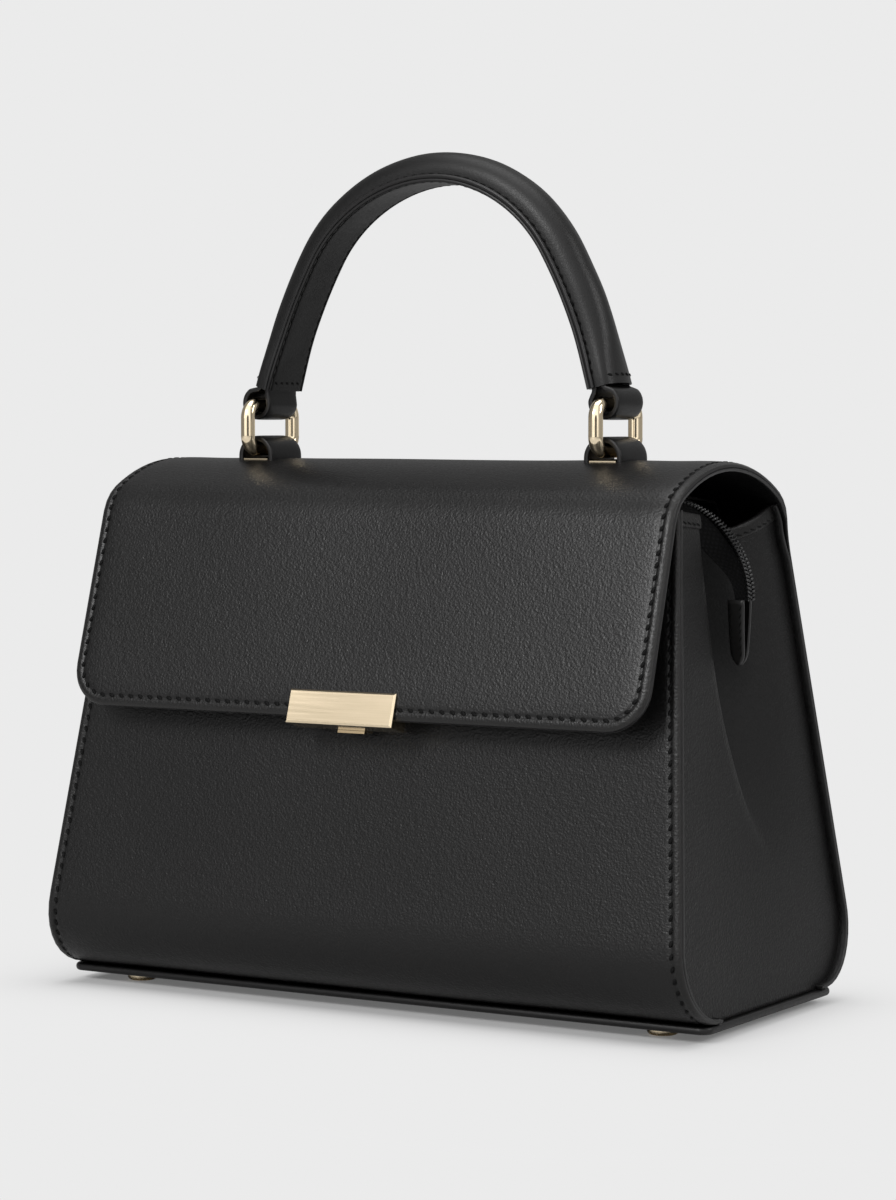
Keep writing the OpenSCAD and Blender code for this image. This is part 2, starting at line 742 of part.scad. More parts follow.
// The cover wraps the roll and turns out over the strip as two sewn edges
module handle_cover() {
    wrap = roll_half_w - skin_t;
    fillet = 0.3;
    color(leather_c) placed() along_handle(concat(
        [[strip_t + fit_gap, handle_w / 2], [2 * strip_t, handle_w / 2],
         [2 * strip_t, roll_half_w + fillet]],
        roll_line(0, 14),
        [[2 * strip_t, -roll_half_w - fillet], [2 * strip_t, -handle_w / 2],
         [strip_t + fit_gap, -handle_w / 2], [strip_t + fit_gap, -wrap]],
        reversed(roll_line(skin_t, 10)),
        [[strip_t + fit_gap, wrap]]), leg_turn);
}

// The underside is a flat strip under the roll
module handle_underside() {
    half = handle_w / 2;
    color(leather_c) placed() along_handle(
        [[0, half], [strip_t, half], [strip_t, -half], [0, -half]], leg_turn);
}

tail_turn = 3.2;
module handle_core() {
    clear_turn = 0.2;
    wrap = roll_half_w - skin_t - fit_gap;
    color([0.5, 0.45, 0.38]) placed() along_handle(concat(
        [[strip_t + 2 * fit_gap, wrap]],
        roll_line(skin_t + 2 * fit_gap, 10),
        [[strip_t + 2 * fit_gap, -wrap]]), leg_turn - tail_turn - clear_turn);
}

// Upper loop: a strap round the ring's upper bar, whose narrower ends are sewn into the handle
grip_in_r = 4.5;
grip_w = 20;
tail_room = 1.5;
tail_w = 2 * (roll_half_w - skin_t - tail_room);
grip_rise = 0.9;
module handle_loop() {
    tail_t = 2 * strap_t;
    opening = 55;
    steps = 20;
    overlap = 1.5;
    mid = [ring_x, top_bar_z + grip_rise];
    level = strip_t + fit_gap + tail_t / 2;
    neck = leg_pt(level, crest_turn + leg_turn);
    tip = leg_pt(level, crest_turn + leg_turn - tail_turn);
    run = unit2(tip - neck);
    side = tail_t / 2 * [-run[1], run[0]];
    stop = neck - fit_gap * run;
    aim = atan2((neck - mid)[1], (neck - mid)[0]);
    bow = [for (i = [0:steps]) let (a = aim + mix(opening, 360 - opening, i / steps))
        mid + (grip_in_r + strap_t) * [cos(a), sin(a)]];
    color(leather_c) placed() translate([0, carry_y, 0]) rotate([90, 0, 0]) union() {
        linear_extrude(height = grip_w, center = true) difference() {
            polygon(concat(bow, [stop - side, stop + side]));
            translate(mid) circle(r = grip_in_r);
        }
        linear_extrude(height = tail_w, center = true) polygon([
            stop - overlap * run - 0.8 * side, tip - 0.8 * side,
            tip + 0.8 * side, stop - overlap * run + 0.8 * side]);
    }
}
module handle_loop_right() { handle_loop(); }
module handle_loop_left() { mirror([1, 0, 0]) handle_loop(); }

// Zip: two facings carry the tapes, whose right end hangs out over the gusset
zip_y = carry_y;
facing_t = 1.4;
facing_in = leather_t + fit_gap;
facing_drop = 15;
facing_end = 3;
facing_x = half_w(mouth_z) - gusset_inset - gusset_t - pleat_d - facing_end;
tape_t = 0.7;
coil_half = 2.3;
coil_gap = 1.1;
coil_h = 2.4;
zip_start = -104;
droop_x = 100;
droop_run = 36.6;
droop_fall = 37;
droop_steps = 12;

function zip_pt(a) = [droop_x + droop_run * sin(a), zip_z - droop_fall * (1 - cos(a))];
function zip_dir(a) = unit2([droop_run * cos(a), -droop_fall * sin(a)]);

module facing(side) {
    low_z = mouth_z - facing_drop;
    tape_top = zip_z + tape_t / 2 + fit_gap;
    zs = [low_z, hinge_z - flap_total - fit_gap, hinge_z - flap_t, mouth_z - flap_total, mouth_z];
    band = [for (z = zs) side > 0 ? rear_room(z) - fit_gap : panel_y(z, facing_in)];
    far = carry_y * side + coil_half + tape_w + over;
    inner = carry_y * side + coil_half + tape_w / 2;
    outline = concat(
        [for (i = [0:len(zs) - 1]) [band[i], zs[i]]],
        [[far, tape_top + facing_t], [inner, tape_top + facing_t], [inner, tape_top],
         [far, tape_top], [band[4] - facing_t, mouth_z - facing_t]],
        [for (i = [len(zs) - 2:-1:0]) [band[i] - facing_t, zs[i]]]);
    color(leather_c) placed() across(2 * facing_x) polygon([for (q = outline) [side * q[0], q[1]]]);
}
module zip_facing_front() { facing(-1); }
module zip_facing_rear() { facing(1); }

// One half of the tape: flat along the mouth, folding inwards as it hangs down
module tape(side) {
    stations = concat(
        [[zip_start, zip_z, 0]],
        [for (i = [0:droop_steps]) let (a = 90 * i / droop_steps) [zip_pt(a)[0], zip_pt(a)[1], a]]);
    fold_in = 62;
    fold_by = 70;
    near = coil_half + 2 * fit_gap;
    far = coil_half + tape_w;
    frames = [for (s = stations) let (
            d = zip_dir(s[2]), up = [-d[1], d[0]], f = fold_in * smooth(s[2] / fold_by),
            w = [-up[0] * sin(f), side * cos(f), -up[1] * sin(f)],
            n = [up[0] * cos(f), side * sin(f), up[1] * cos(f)],
            p = [s[0], zip_y, s[1]])
        [p + near * w + tape_t / 2 * n, p + far * w + tape_t / 2 * n,
         p + near * w - tape_t / 2 * n, p + far * w - tape_t / 2 * n]];
    top = [for (f = frames) [f[0], f[1]]];
    low = [for (f = frames) [f[2], f[3]]];
    color(cloth_c) placed() if (side > 0) sheet(low, top); else sheet(top, low);
}
module zip_tape_front() { tape(-1); }
module zip_tape_rear() { tape(1); }

// Coil: two ridged rows along the tapes' edges, with the slider's path between them
module zip_chain() {
    straight = floor((droop_x - zip_start) / coil_pitch);
    hang = round(0.5 * PI * (droop_run + droop_fall) / 2 / coil_pitch);
    base_pts = concat(
        [for (i = [0:straight - 1]) [[zip_start + i * coil_pitch, zip_z], [1, 0]]],
        [for (i = [0:hang]) let (a = 90 * i / hang) [zip_pt(a), zip_dir(a)]]);
    ridge = 0.35;
    line = [for (i = [0:len(base_pts) - 1], k = [0, 1])
        let (p = base_pts[i][0], d = base_pts[i][1])
        [p + d * (k - 0.5) * coil_pitch * 0.5, [-d[1], d[0]], k == 0 ? coil_h / 2 : coil_h / 2 - ridge]];
    row_w = coil_half - coil_gap / 2;
    color(cloth_c) placed() for (s = [-1, 1])
        translate([0, zip_y + s * (coil_gap + row_w) / 2, 0]) rotate([90, 0, 0])
            linear_extrude(height = row_w, center = true)
                polygon(concat(
                    [for (l = line) l[0] + l[1] * l[2]],
                    reversed([for (l = line) l[0] - l[1] * l[2]])));
}

// End tab: two leather leaves that take the tape's end and meet at the bottom
module zip_end_tab() {
    tip = zip_pt(90);
    leaf = 1.6;
    tab_l = 24;
    tab_wide = 12;
    tab_point = 5;
    top_half = 6.2;
    low_half = 1.8;
    inset = 1.5;
    taper = 0.5;
    out_x = tip[0] - inset;
    color(leather_c) placed() intersection() {
        translate([out_x - tab_wide / 2, zip_y, tip[1] - fit_gap]) across(2 * tab_wide) polygon([
            [-top_half, 0], [-top_half + leaf, 0], [0, leaf - tab_l],
            [top_half - leaf, 0], [top_half, 0], [low_half, -tab_l], [-low_half, -tab_l]]);
        translate([out_x, 0, tip[1]]) rotate([90, 0, 0])
            linear_extrude(height = base_depth, center = true) polygon([
                [-tab_wide, 0], [0, 0], [-taper, tab_point - tab_l], [-4 * taper, -tab_l],
                [-tab_wide + tab_point, -tab_l], [-tab_wide + 2 * taper, tab_point - tab_l]]);
    }
}

// Slider: two plates with turned lips, and a lug for the pull
slider_rest = 9;
slider_x = zip_start + slider_rest;
slider_l = 10;
slider_w = 9;
plate_t = 0.9;
lug_h = 2.6;
lug_t = 1.1;
slider_gap = coil_h / 2 + run_gap;
post_l = 3;
module zip_slider() {
    lip = slider_gap - tape_t / 2 - run_gap;
    lug_l = 4.4;
    hole_r = 0.85;
    color(gold_c) placed() translate([slider_x, zip_y, zip_z]) union() {
        for (s = [-1, 1]) {
            translate([0, 0, s * (slider_gap + plate_t / 2)])
                cube([slider_l, slider_w, plate_t], center = true);
            for (e = [-1, 1])
                translate([0, e * (slider_w - plate_t) / 2, s * (slider_gap - lip / 2)])
                    cube([slider_l, plate_t, lip], center = true);
        }
        // The post joins the plates between the two rows of the coil
        translate([-slider_l / 2 + post_l / 2, 0, 0])
            cube([post_l, coil_gap - 2 * run_gap, 2 * slider_gap + plate_t], center = true);
        translate([-slider_l / 4, 0, slider_gap + plate_t]) rotate([90, 0, 0])
            linear_extrude(height = lug_t, center = true) difference() {
                translate([-lug_l / 2, 0]) square([lug_l, lug_h]);
                translate([0, lug_h / 2]) circle(r = hole_r);
            }
    }
}

module zip_pull() {
    eye_r = 0.6;
    pull_l = 20;
    pull_w = 5;
    pull_t = 1.1;
    ear = 1.2;
    arm_l = 4.4;
    pin = [slider_x - slider_l / 4, zip_y, zip_z + slider_gap + plate_t + lug_h / 2];
    color(gold_c) placed() translate(pin) union() {
        rotate([90, 0, 0]) cylinder(r = eye_r, h = lug_t + 2 * run_gap + 2 * ear, center = true);
        for (s = [-1, 1])
            translate([-eye_r, s * (lug_t / 2 + run_gap + ear / 2) - ear / 2, -eye_r])
                cube([arm_l, ear, 2 * eye_r]);
        translate([arm_l - over, -pull_w / 2, run_gap - lug_h / 2])
            cube([pull_l - arm_l + over, pull_w, pull_t]);
    }
}

base_panel();
base_board();
feet();
foot_washers();
front_panel();
back_panel();
gusset_left();
gusset_right();
gusset_band_left();
gusset_band_right();
lining();
zip_facing_front();
zip_facing_rear();
zip_tape_front();
zip_tape_rear();
zip_chain();
zip_end_tab();
zip_slider();
zip_pull();
lock_case();
lock_backplate();
lock_rivets();
release_tab();
lock_spring();
flap_outer();
flap_lining();
lock_bar();
lock_tongue();
ring_loop_left();
ring_loop_right();
loop_seat_left();
loop_seat_right();
loop_anchor_left();
loop_anchor_right();
ring_left();
ring_right();
handle_cover();
handle_underside();
handle_core();
handle_loop_left();
handle_loop_right();
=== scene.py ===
"""Looks of a structured top handle bag: black calf leather, pale gold fittings and a nylon coil zip.

Every length in the classes is in millimetres, as a bag maker writes it; Draft.build turns it to
metres. Front faces -Y, +Z is up, and the origin lies on the floor under the middle of the bag.
"""

import logging
import math
from dataclasses import dataclass, field
from enum import Enum
from typing import Callable

import bmesh
import bpy
import numpy as np
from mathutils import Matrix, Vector


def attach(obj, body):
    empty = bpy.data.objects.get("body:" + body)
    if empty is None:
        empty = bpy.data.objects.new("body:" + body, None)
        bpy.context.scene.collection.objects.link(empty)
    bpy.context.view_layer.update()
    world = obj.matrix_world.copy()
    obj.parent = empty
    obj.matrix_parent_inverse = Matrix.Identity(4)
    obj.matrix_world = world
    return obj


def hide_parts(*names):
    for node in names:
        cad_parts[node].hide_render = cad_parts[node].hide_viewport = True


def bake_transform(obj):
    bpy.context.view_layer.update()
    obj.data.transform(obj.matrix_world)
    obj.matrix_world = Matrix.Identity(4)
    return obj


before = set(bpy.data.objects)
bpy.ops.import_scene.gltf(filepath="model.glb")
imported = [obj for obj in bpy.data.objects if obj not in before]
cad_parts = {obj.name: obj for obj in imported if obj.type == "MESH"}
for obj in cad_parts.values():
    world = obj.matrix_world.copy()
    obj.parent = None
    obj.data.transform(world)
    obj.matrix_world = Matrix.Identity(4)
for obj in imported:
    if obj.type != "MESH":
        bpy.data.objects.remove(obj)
log = logging.getLogger("bag")
Array = np.ndarray

# The CAD moves every piece by this much, so that the origin lies under the whole depth's middle
DEPTH_SHIFT = 3.0016
MM = 0.001
# Nearly all values of a noise pattern lie between these
NOISE_SPAN = (0.3, 0.7)


def linear(colour: str) -> tuple[float, float, float, float]:
    """Turns an sRGB hex colour into the linear colour that a shader takes.

    Args:
        colour: Six hex digits after a hash.

    Returns:
        Red, green, blue and full alpha.
    """
    parts = [int(colour[i:i + 2], 16) / 255 for i in (1, 3, 5)]
    lin = [c / 12.92 if c <= 0.04045 else ((c + 0.055) / 1.055) ** 2.4 for c in parts]
    return (lin[0], lin[1], lin[2], 1.0)


def per_metre(size_mm: float) -> float:
    """Scale that makes one cell of a pattern as wide as size_mm on coordinates in metres."""
    return 1.0 / (size_mm * MM)


def smooth(t: Array | float) -> Array:
    """Eases from 0 to 1 with level ends."""
    c = np.clip(t, 0.0, 1.0)
    return c * c * (3 - 2 * c)


def mix(a: float, b: float, t: Array | float) -> Array:
    """Value that lies the share t of the way from a to b."""
    return a + (b - a) * t


def bump_at(x: Array | float, middle: float, width: float) -> Array:
    """Soft hump of height 1 round middle, gone a few widths away."""
    return np.exp(-(((x - middle) / width) ** 2))


@dataclass(frozen=True)
class Hump:
    """Soft hump of a sheet: its height, and its middle and half length each way, in millimetres."""
    height: float
    middle: float
    run: float
    across: float = 0.0
    width: float = math.inf

    def at(self, x: Array, s: Array) -> Array:
        """Height at x across and s along."""
        return self.height * bump_at(s, self.middle, self.run) * bump_at(x, self.across, self.width)


def unit(v: Array) -> Array:
    """Vectors of length 1 in the directions of these."""
    return v / np.maximum(np.linalg.norm(v, axis=-1, keepdims=True), 1e-9)


def run_of(points: Array) -> Array:
    """Length along a line of points, at each of them."""
    return np.concatenate([[0.0], np.cumsum(np.linalg.norm(np.diff(points, axis=0), axis=1))])


def sampled(at: Array, marks: Array, points: Array) -> Array:
    """Points at these lengths of a line whose own points lie at the lengths in marks."""
    return np.stack([np.interp(at, marks, points[:, k]) for k in range(points.shape[1])], -1)


def joined(*parts: Array | float) -> Array:
    """Coordinates spread to one shape and joined as the last axis."""
    return np.stack(np.broadcast_arrays(*parts), -1)


def add_node(tree: bpy.types.NodeTree, kind: str, settings: dict | None = None,
             links: dict | None = None) -> bpy.types.Node:
    """Adds one shader node, sets it up and links its inputs.

    Args:
        tree: Node tree that gets the node.
        kind: Blender's name of the node type.
        settings: Node properties by name, or input values by socket name or number.
        links: Output sockets by the name or number of the input that they feed.

    Returns:
        The new node.
    """
    made = tree.nodes.new(kind)
    for name, value in (settings or {}).items():
        if isinstance(name, str) and hasattr(made, name):
            setattr(made, name, value)
        else:
            made.inputs[name].default_value = value
    for name, source in (links or {}).items():
        tree.links.new(source, made.inputs[name])
    return made


def maths(tree: bpy.types.NodeTree, operation: str, a: bpy.types.NodeSocket,
          b: bpy.types.NodeSocket | float = 0.0) -> bpy.types.NodeSocket:
    """Joins two values, or a value and a number, by one operation."""
    if isinstance(b, (int, float)):
        return add_node(tree, "ShaderNodeMath", {"operation": operation, 1: b}, {0: a}).outputs[0]
    return add_node(tree, "ShaderNodeMath", {"operation": operation}, {0: a, 1: b}).outputs[0]


def vectors(tree: bpy.types.NodeTree, operation: str, a: bpy.types.NodeSocket,
            b: tuple[float, float, float] = (0.0, 0.0, 0.0)) -> bpy.types.Node:
    """Joins a vector and three numbers by one operation; the node gives a Vector or a Value."""
    return add_node(tree, "ShaderNodeVectorMath", {"operation": operation, 1: b}, {0: a})


def eased(tree: bpy.types.NodeTree, source: bpy.types.NodeSocket, start: float, end: float, low: float,
          high: float) -> bpy.types.NodeSocket:
    """Value that goes from low to high with level ends, while the source goes from start to end."""
    return add_node(tree, "ShaderNodeMapRange", {
        "interpolation_type": "SMOOTHSTEP", "From Min": start, "From Max": end, "To Min": low, "To Max": high},
        {"Value": source}).outputs[0]


class Surface:
    """A material under construction: its tree, its principled shader and its coordinates."""

    def __init__(self, name: str, settings: dict) -> None:
        """Starts a material whose shader has these settings."""
        self.material = bpy.data.materials.new(name)
        self.material.use_nodes = True
        self.tree = self.material.node_tree
        self.tree.nodes.clear()
        self.shader = add_node(self.tree, "ShaderNodeBsdfPrincipled", settings)
        self.output = add_node(self.tree, "ShaderNodeOutputMaterial", links={"Surface": self.shader.outputs[0]})
        self.coords = add_node(self.tree, "ShaderNodeTexCoord")

    @property
    def place(self) -> bpy.types.NodeSocket:
        """Coordinates in metres that stay with the piece."""
        return self.coords.outputs["Object"]

    @property
    def along(self) -> bpy.types.NodeSocket:
        """Coordinates in metres along and across the piece's own length."""
        return self.coords.outputs["UV"]

    def stretched(self, source: bpy.types.NodeSocket, scale: tuple, turn: float = 0.0) -> bpy.types.NodeSocket:
        """Coordinates scaled by three numbers, after a turn in degrees in their own plane."""
        mapping = add_node(self.tree, "ShaderNodeMapping",
                           {"Scale": scale, "Rotation": (0, 0, math.radians(turn))}, {"Vector": source})
        return mapping.outputs[0]

    def noise(self, size_mm: float, detail: float = 2.0, source: bpy.types.NodeSocket | None = None
              ) -> bpy.types.NodeSocket:
        """Cloudy pattern whose blotches are about size_mm wide."""
        made = add_node(self.tree, "ShaderNodeTexNoise", {"Scale": per_metre(size_mm), "Detail": detail},
                        {"Vector": source or self.place})
        return made.outputs[0]

    def cells(self, size_mm: float, feature: str = "SMOOTH_F1", source: bpy.types.NodeSocket | None = None
              ) -> bpy.types.NodeSocket:
        """Distance pattern of rounded cells that are about size_mm wide."""
        made = add_node(self.tree, "ShaderNodeTexVoronoi", {"feature": feature, "Scale": per_metre(size_mm)},
                        {"Vector": source or self.place})
        return made.outputs["Distance"]

    def ranged(self, source: bpy.types.NodeSocket, low: float, high: float, start: float = 0.0,
               end: float = 1.0) -> bpy.types.NodeSocket:
        """Spreads a pattern's values from start to end over low to high."""
        made = add_node(self.tree, "ShaderNodeMapRange",
                        {"From Min": start, "From Max": end, "To Min": low, "To Max": high}, {"Value": source})
        return made.outputs[0]

    def maths(self, operation: str, a: bpy.types.NodeSocket, b: bpy.types.NodeSocket | float = 0.0
              ) -> bpy.types.NodeSocket:
        """Joins two patterns, or a pattern and a number, by one operation."""
        return maths(self.tree, operation, a, b)

    def blend(self, share: bpy.types.NodeSocket, first: str | bpy.types.NodeSocket, second: str
              ) -> bpy.types.NodeSocket:
        """Colour that goes from the first, a hex colour or a pattern, to the second with the share."""
        plain = isinstance(first, str)
        known = {"data_type": "RGBA", 7: linear(second)} | ({6: linear(first)} if plain else {})
        fed = {"Factor": share} | ({} if plain else {6: first})
        return add_node(self.tree, "ShaderNodeMix", known, fed).outputs[2]

    def attribute(self, name: str) -> bpy.types.NodeSocket:
        """A number that the mesh carries at each of its points."""
        return add_node(self.tree, "ShaderNodeAttribute", {"attribute_name": name}).outputs["Fac"]

    def finish(self, colour: bpy.types.NodeSocket | None = None, roughness: bpy.types.NodeSocket | None = None,
               reliefs: list[tuple[bpy.types.NodeSocket, float, float]] | None = None) -> bpy.types.Material:
        """Links the patterns to the shader.

        Args:
            colour: Base colour pattern.
            roughness: Roughness pattern.
            reliefs: Height patterns, each with its strength and its depth in millimetres.

        Returns:
            The finished material.
        """
        if colour is not None:
            self.tree.links.new(colour, self.shader.inputs["Base Color"])
        if roughness is not None:
            self.tree.links.new(roughness, self.shader.inputs["Roughness"])
        normal = None
        for height, strength, depth in reliefs or []:
            links = {"Height": height} | ({"Normal": normal} if normal is not None else {})
            normal = add_node(self.tree, "ShaderNodeBump", {"Strength": strength, "Distance": depth * MM},
                              links).outputs[0]
        if normal is not None:
            self.tree.links.new(normal, self.shader.inputs["Normal"])
        return self.material


@dataclass(frozen=True)
class CalfLeather:
    """Full-grain calf leather, dyed through black, pressed smooth and waxed to a soft satin."""
    name: str
    body: str = "#0c0c0c"
    lit: str = "#100f0f"
    rubbed: str = "#201f1e"
    # Painted shade, laid where a fold is deep
    fold: str = "#020202"
    cloud_mm: float = 34.0
    sheen_rough: float = 0.38
    rough_spread: float = 0.07
    polish: float = 0.08
    fold_rough: float = 0.4
    grain_mm: float = 0.85
    grain_depth: float = 0.13
    shine: float = 0.345

    def material(self) -> bpy.types.Material:
        """Fine pebble grain, cloudy dye and slightly polished high spots give the satin look."""
        s = Surface(self.name, {"IOR": 1.5, "Specular IOR Level": self.shine, "Coat Weight": 0.04,
                                "Coat Roughness": 0.32})
        # The number that the mesh carries is above zero on rubbed edges and painted sheen; below zero it is
        # painted shade, deepest in a fold, that turns the leather darker and rougher
        wear_and_painted_light = s.attribute("wear_and_painted_light")
        # The rubbed colour marks rubbed edges, and is also the painted sheen on the handle's crown and partly a
        # painted highlight on the gusset's crease
        colour = s.blend(wear_and_painted_light, s.blend(s.noise(self.cloud_mm, 3.0), self.body, self.lit), self.rubbed)
        # Painted shade: the fold colour is laid on where the mesh's number is below zero
        colour = s.blend(s.ranged(wear_and_painted_light, 1.0, 0.0, -1.0, 0.0), colour, self.fold)
        patches = s.noise(self.grain_mm * 1.1, 3.0)
        rough = s.ranged(patches, self.sheen_rough - self.rough_spread, self.sheen_rough + self.rough_spread,
                         *NOISE_SPAN)
        rough = s.maths("SUBTRACT", rough, s.ranged(wear_and_painted_light, 0.0, self.polish))
        rough = s.maths("ADD", rough, s.ranged(wear_and_painted_light, self.fold_rough, 0.0, -1.0, 0.0))
        # Real calf grain is 0.3 to 0.5 mm; it is drawn coarser, or the render wouldn't show it
        grain = s.cells(self.grain_mm)
        pores = s.noise(self.grain_mm * 0.9, 2.0)
        creases = s.cells(self.grain_mm * 2.6, "F1")
        return s.finish(colour, rough, [
            (grain, 0.8, self.grain_depth), (pores, 0.8, self.grain_depth), (creases, 0.35, self.grain_depth)])


@dataclass(frozen=True)
class EdgePaint:
    """Acrylic edge paint, laid on in three coats and rubbed down: smooth, rounded, half gloss."""
    name: str = "black_edge_paint"

    def material(self) -> bpy.types.Material:
        """Shallow ripples of the brush and a sheen above the leather's."""
        s = Surface(self.name, {
            "IOR": 1.49, "Specular IOR Level": 0.36, "Coat Weight": 0.06, "Coat Roughness": 0.25})
        ripple = s.noise(2.4, 2.0)
        return s.finish(s.blend(s.noise(12.0), "#111011", "#171616"), s.ranged(ripple, 0.36, 0.46, *NOISE_SPAN),
                        [(ripple, 0.2, 0.08)])


@dataclass(frozen=True)
class WaxedThread:
    """Bonded polyester thread, three plies twisted and waxed black."""
    name: str = "black_waxed_thread"
    ply_mm: float = 0.5

    def material(self) -> bpy.types.Material:
        """Slanting plies show as short light and dark bars along each stitch."""
        s = Surface(self.name, {"IOR": 1.5, "Specular IOR Level": 0.12})
        slant = s.stretched(s.along, (1, 1, 1), 38.0)
        ply = add_node(s.tree, "ShaderNodeTexWave", {
            "Scale": per_metre(self.ply_mm) / math.pi, "Distortion": 0.4}, {"Vector": slant}).outputs[0]
        return s.finish(s.blend(ply, "#030303", "#0a0a0a"), s.ranged(ply, 0.5, 0.68), [(ply, 0.6, 0.12)])


class GoldWork(Enum):
    """How a gold-plated fitting's surface was worked."""
    POLISHED = "polished"
    BRUSHED = "brushed"
    SATIN = "satin"


@dataclass(frozen=True)
class PaleGold:
    """Zinc alloy fitting under pale champagne gold plate."""
    work: GoldWork
    shade: str = "#efdcb9"
    colour: str = "#f6e5c8"
    brushed_shade: str = "#efdcb8"
    brushed_colour: str = "#fbe8cb"
    line_mm: tuple[float, float] = (30.0, 0.35)
    face: tuple[float, float, float] = (0.0, -0.958, 0.286)

    def brushed(self, s: Surface) -> bpy.types.Material:
        """Brush lines along X on the bar's leaning face; its bevels, sides and underside stay polished."""
        # Real lines are about 0.15 mm apart; they are drawn wider, or the render wouldn't show them
        length, width = (per_metre(size) for size in self.line_mm)
        lines = s.noise(1000.0, 3.0, s.stretched(s.place, (length, width, width)))
        facing = vectors(s.tree, "DOT_PRODUCT", s.coords.outputs["Normal"], self.face).outputs["Value"]
        on_face = s.ranged(facing, 0.3, 1.0, 0.93, 0.98)
        rough = s.maths("MULTIPLY", s.ranged(lines, 0.3, 0.4, *NOISE_SPAN), on_face)
        return s.finish(s.blend(lines, self.brushed_shade, self.brushed_colour), rough, [(lines, 0.3, 0.04)])

    def material(self) -> bpy.types.Material:
        """Polished mirrors soft lamps, brushed draws them out across its lines, satin scatters them."""
        if self.work is GoldWork.BRUSHED:
            return self.brushed(Surface(f"pale_gold_{self.work.value}", {
                "Metallic": 1.0, "Anisotropic": 0.55, "Anisotropic Rotation": 0.25}))
        s = Surface(f"pale_gold_{self.work.value}", {"Metallic": 1.0})
        low, high = (0.07, 0.1) if self.work is GoldWork.POLISHED else (0.24, 0.32)
        return s.finish(s.blend(s.noise(7.0, 2.0), self.shade, self.colour),
                        s.ranged(s.noise(2.6, 2.0), low, high, *NOISE_SPAN), [(s.noise(9.0), 0.05, 0.05)])


@dataclass(frozen=True)
class PlatedSteel:
    """Nickel-plated pressed steel of the parts that no one sees once the bag is closed."""
    name: str = "nickel_plated_steel"
    rough: float = 0.3
    dark: str = "#a5a6a8"
    light: str = "#c4c5c8"

    def material(self) -> bpy.types.Material:
        """Cool grey metal with the faint cloud of barrel plating."""
        s = Surface(self.name, {"Metallic": 1.0})
        cloud = s.noise(2.0, 3.0)
        return s.finish(s.blend(s.noise(6.0), self.dark, self.light),
                        s.ranged(cloud, self.rough, self.rough + 0.14), [(cloud, 0.15, 0.05)])


@dataclass(frozen=True)
class Woven:
    """Cloth of the zip tape or the lining, woven from fine black polyester yarn."""
    name: str
    yarn_mm: float
    dark: str
    light: str
    turn: float = 0.0

    def material(self) -> bpy.types.Material:
        """Two crossing sets of yarn; a turn of 45 degrees draws the tape's herringbone twill."""
        s = Surface(self.name, {
            "IOR": 1.5, "Sheen Weight": 0.04, "Sheen Roughness": 0.5, "Specular IOR Level": 0.1})
        laid = s.stretched(s.along, (1, 1, 1), self.turn)
        scale = per_metre(self.yarn_mm) / 20 * math.pi
        warp = add_node(s.tree, "ShaderNodeTexWave", {"Scale": scale, "bands_direction": "X"}, {"Vector": laid})
        weft = add_node(s.tree, "ShaderNodeTexWave", {"Scale": scale, "bands_direction": "Y"}, {"Vector": laid})
        weave = s.maths("MULTIPLY", warp.outputs["Fac"], weft.outputs["Fac"])
        fibre = s.noise(0.5, 2.0)
        return s.finish(s.blend(s.maths("ADD", weave, s.maths("MULTIPLY", fibre, 0.3)), self.dark, self.light),
                        s.ranged(fibre, 0.75, 0.92), [(weave, 0.7, 0.2), (fibre, 0.3, 0.1)])


@dataclass(frozen=True)
class NylonCoil:
    """Nylon monofilament, wound and heat-set into the zip's coil."""
    name: str = "black_nylon_coil"

    def material(self) -> bpy.types.Material:
        """Smooth plastic wire: clear small highlights on near black."""
        s = Surface(self.name, {"IOR": 1.53})
        pull = s.noise(0.8, 2.0)
        return s.finish(s.blend(pull, "#101010", "#181819"), s.ranged(pull, 0.24, 0.34), [(pull, 0.2, 0.03)])


@dataclass(frozen=True)
class PressedFibre:
    """Pressed cellulose board or cotton filling: the hidden stiffener and the handle's core."""
    name: str
    dark: str
    light: str

    def material(self) -> bpy.types.Material:
        """Short felted fibres in all directions, fully matt."""
        s = Surface(self.name, {"IOR": 1.45, "Specular IOR Level": 0.2})
        felt = s.noise(1.6, 4.0)
        return s.finish(s.blend(felt, self.dark, self.light), s.ranged(felt, 0.82, 0.95), [(felt, 0.5, 0.2)])


@dataclass
class Workshop:
    """Makes each finish once and hands it out."""
    made: dict[str, bpy.types.Material] = field(default_factory=dict)

    def get(self, finish: object) -> bpy.types.Material:
        """The material of a finish, made at its first use."""
        key = repr(finish)
        if key not in self.made:
            self.made[key] = finish.material()
        return self.made[key]


FLAP_CALF = CalfLeather("black_calf_flap")
PANEL_CALF = CalfLeather("black_calf_panels", sheen_rough=0.4, grain_depth=0.15, shine=0.3)
GUSSET_CALF = CalfLeather("black_calf_gussets", sheen_rough=0.44, grain_depth=0.2, shine=0.21)
HANDLE_CALF = CalfLeather("black_calf_handle", sheen_rough=0.43, grain_mm=0.6, grain_depth=0.05, shine=0.31)
STRIP_CALF = CalfLeather("black_calf_handle_strip", body="#0b0b0b", lit="#0e0d0d", sheen_rough=0.46,
                         grain_mm=0.7, grain_depth=0.05, shine=0.16)
LOOP_CALF = CalfLeather("black_calf_ring_loops", sheen_rough=0.38, grain_mm=0.6, grain_depth=0.05, shine=0.22)
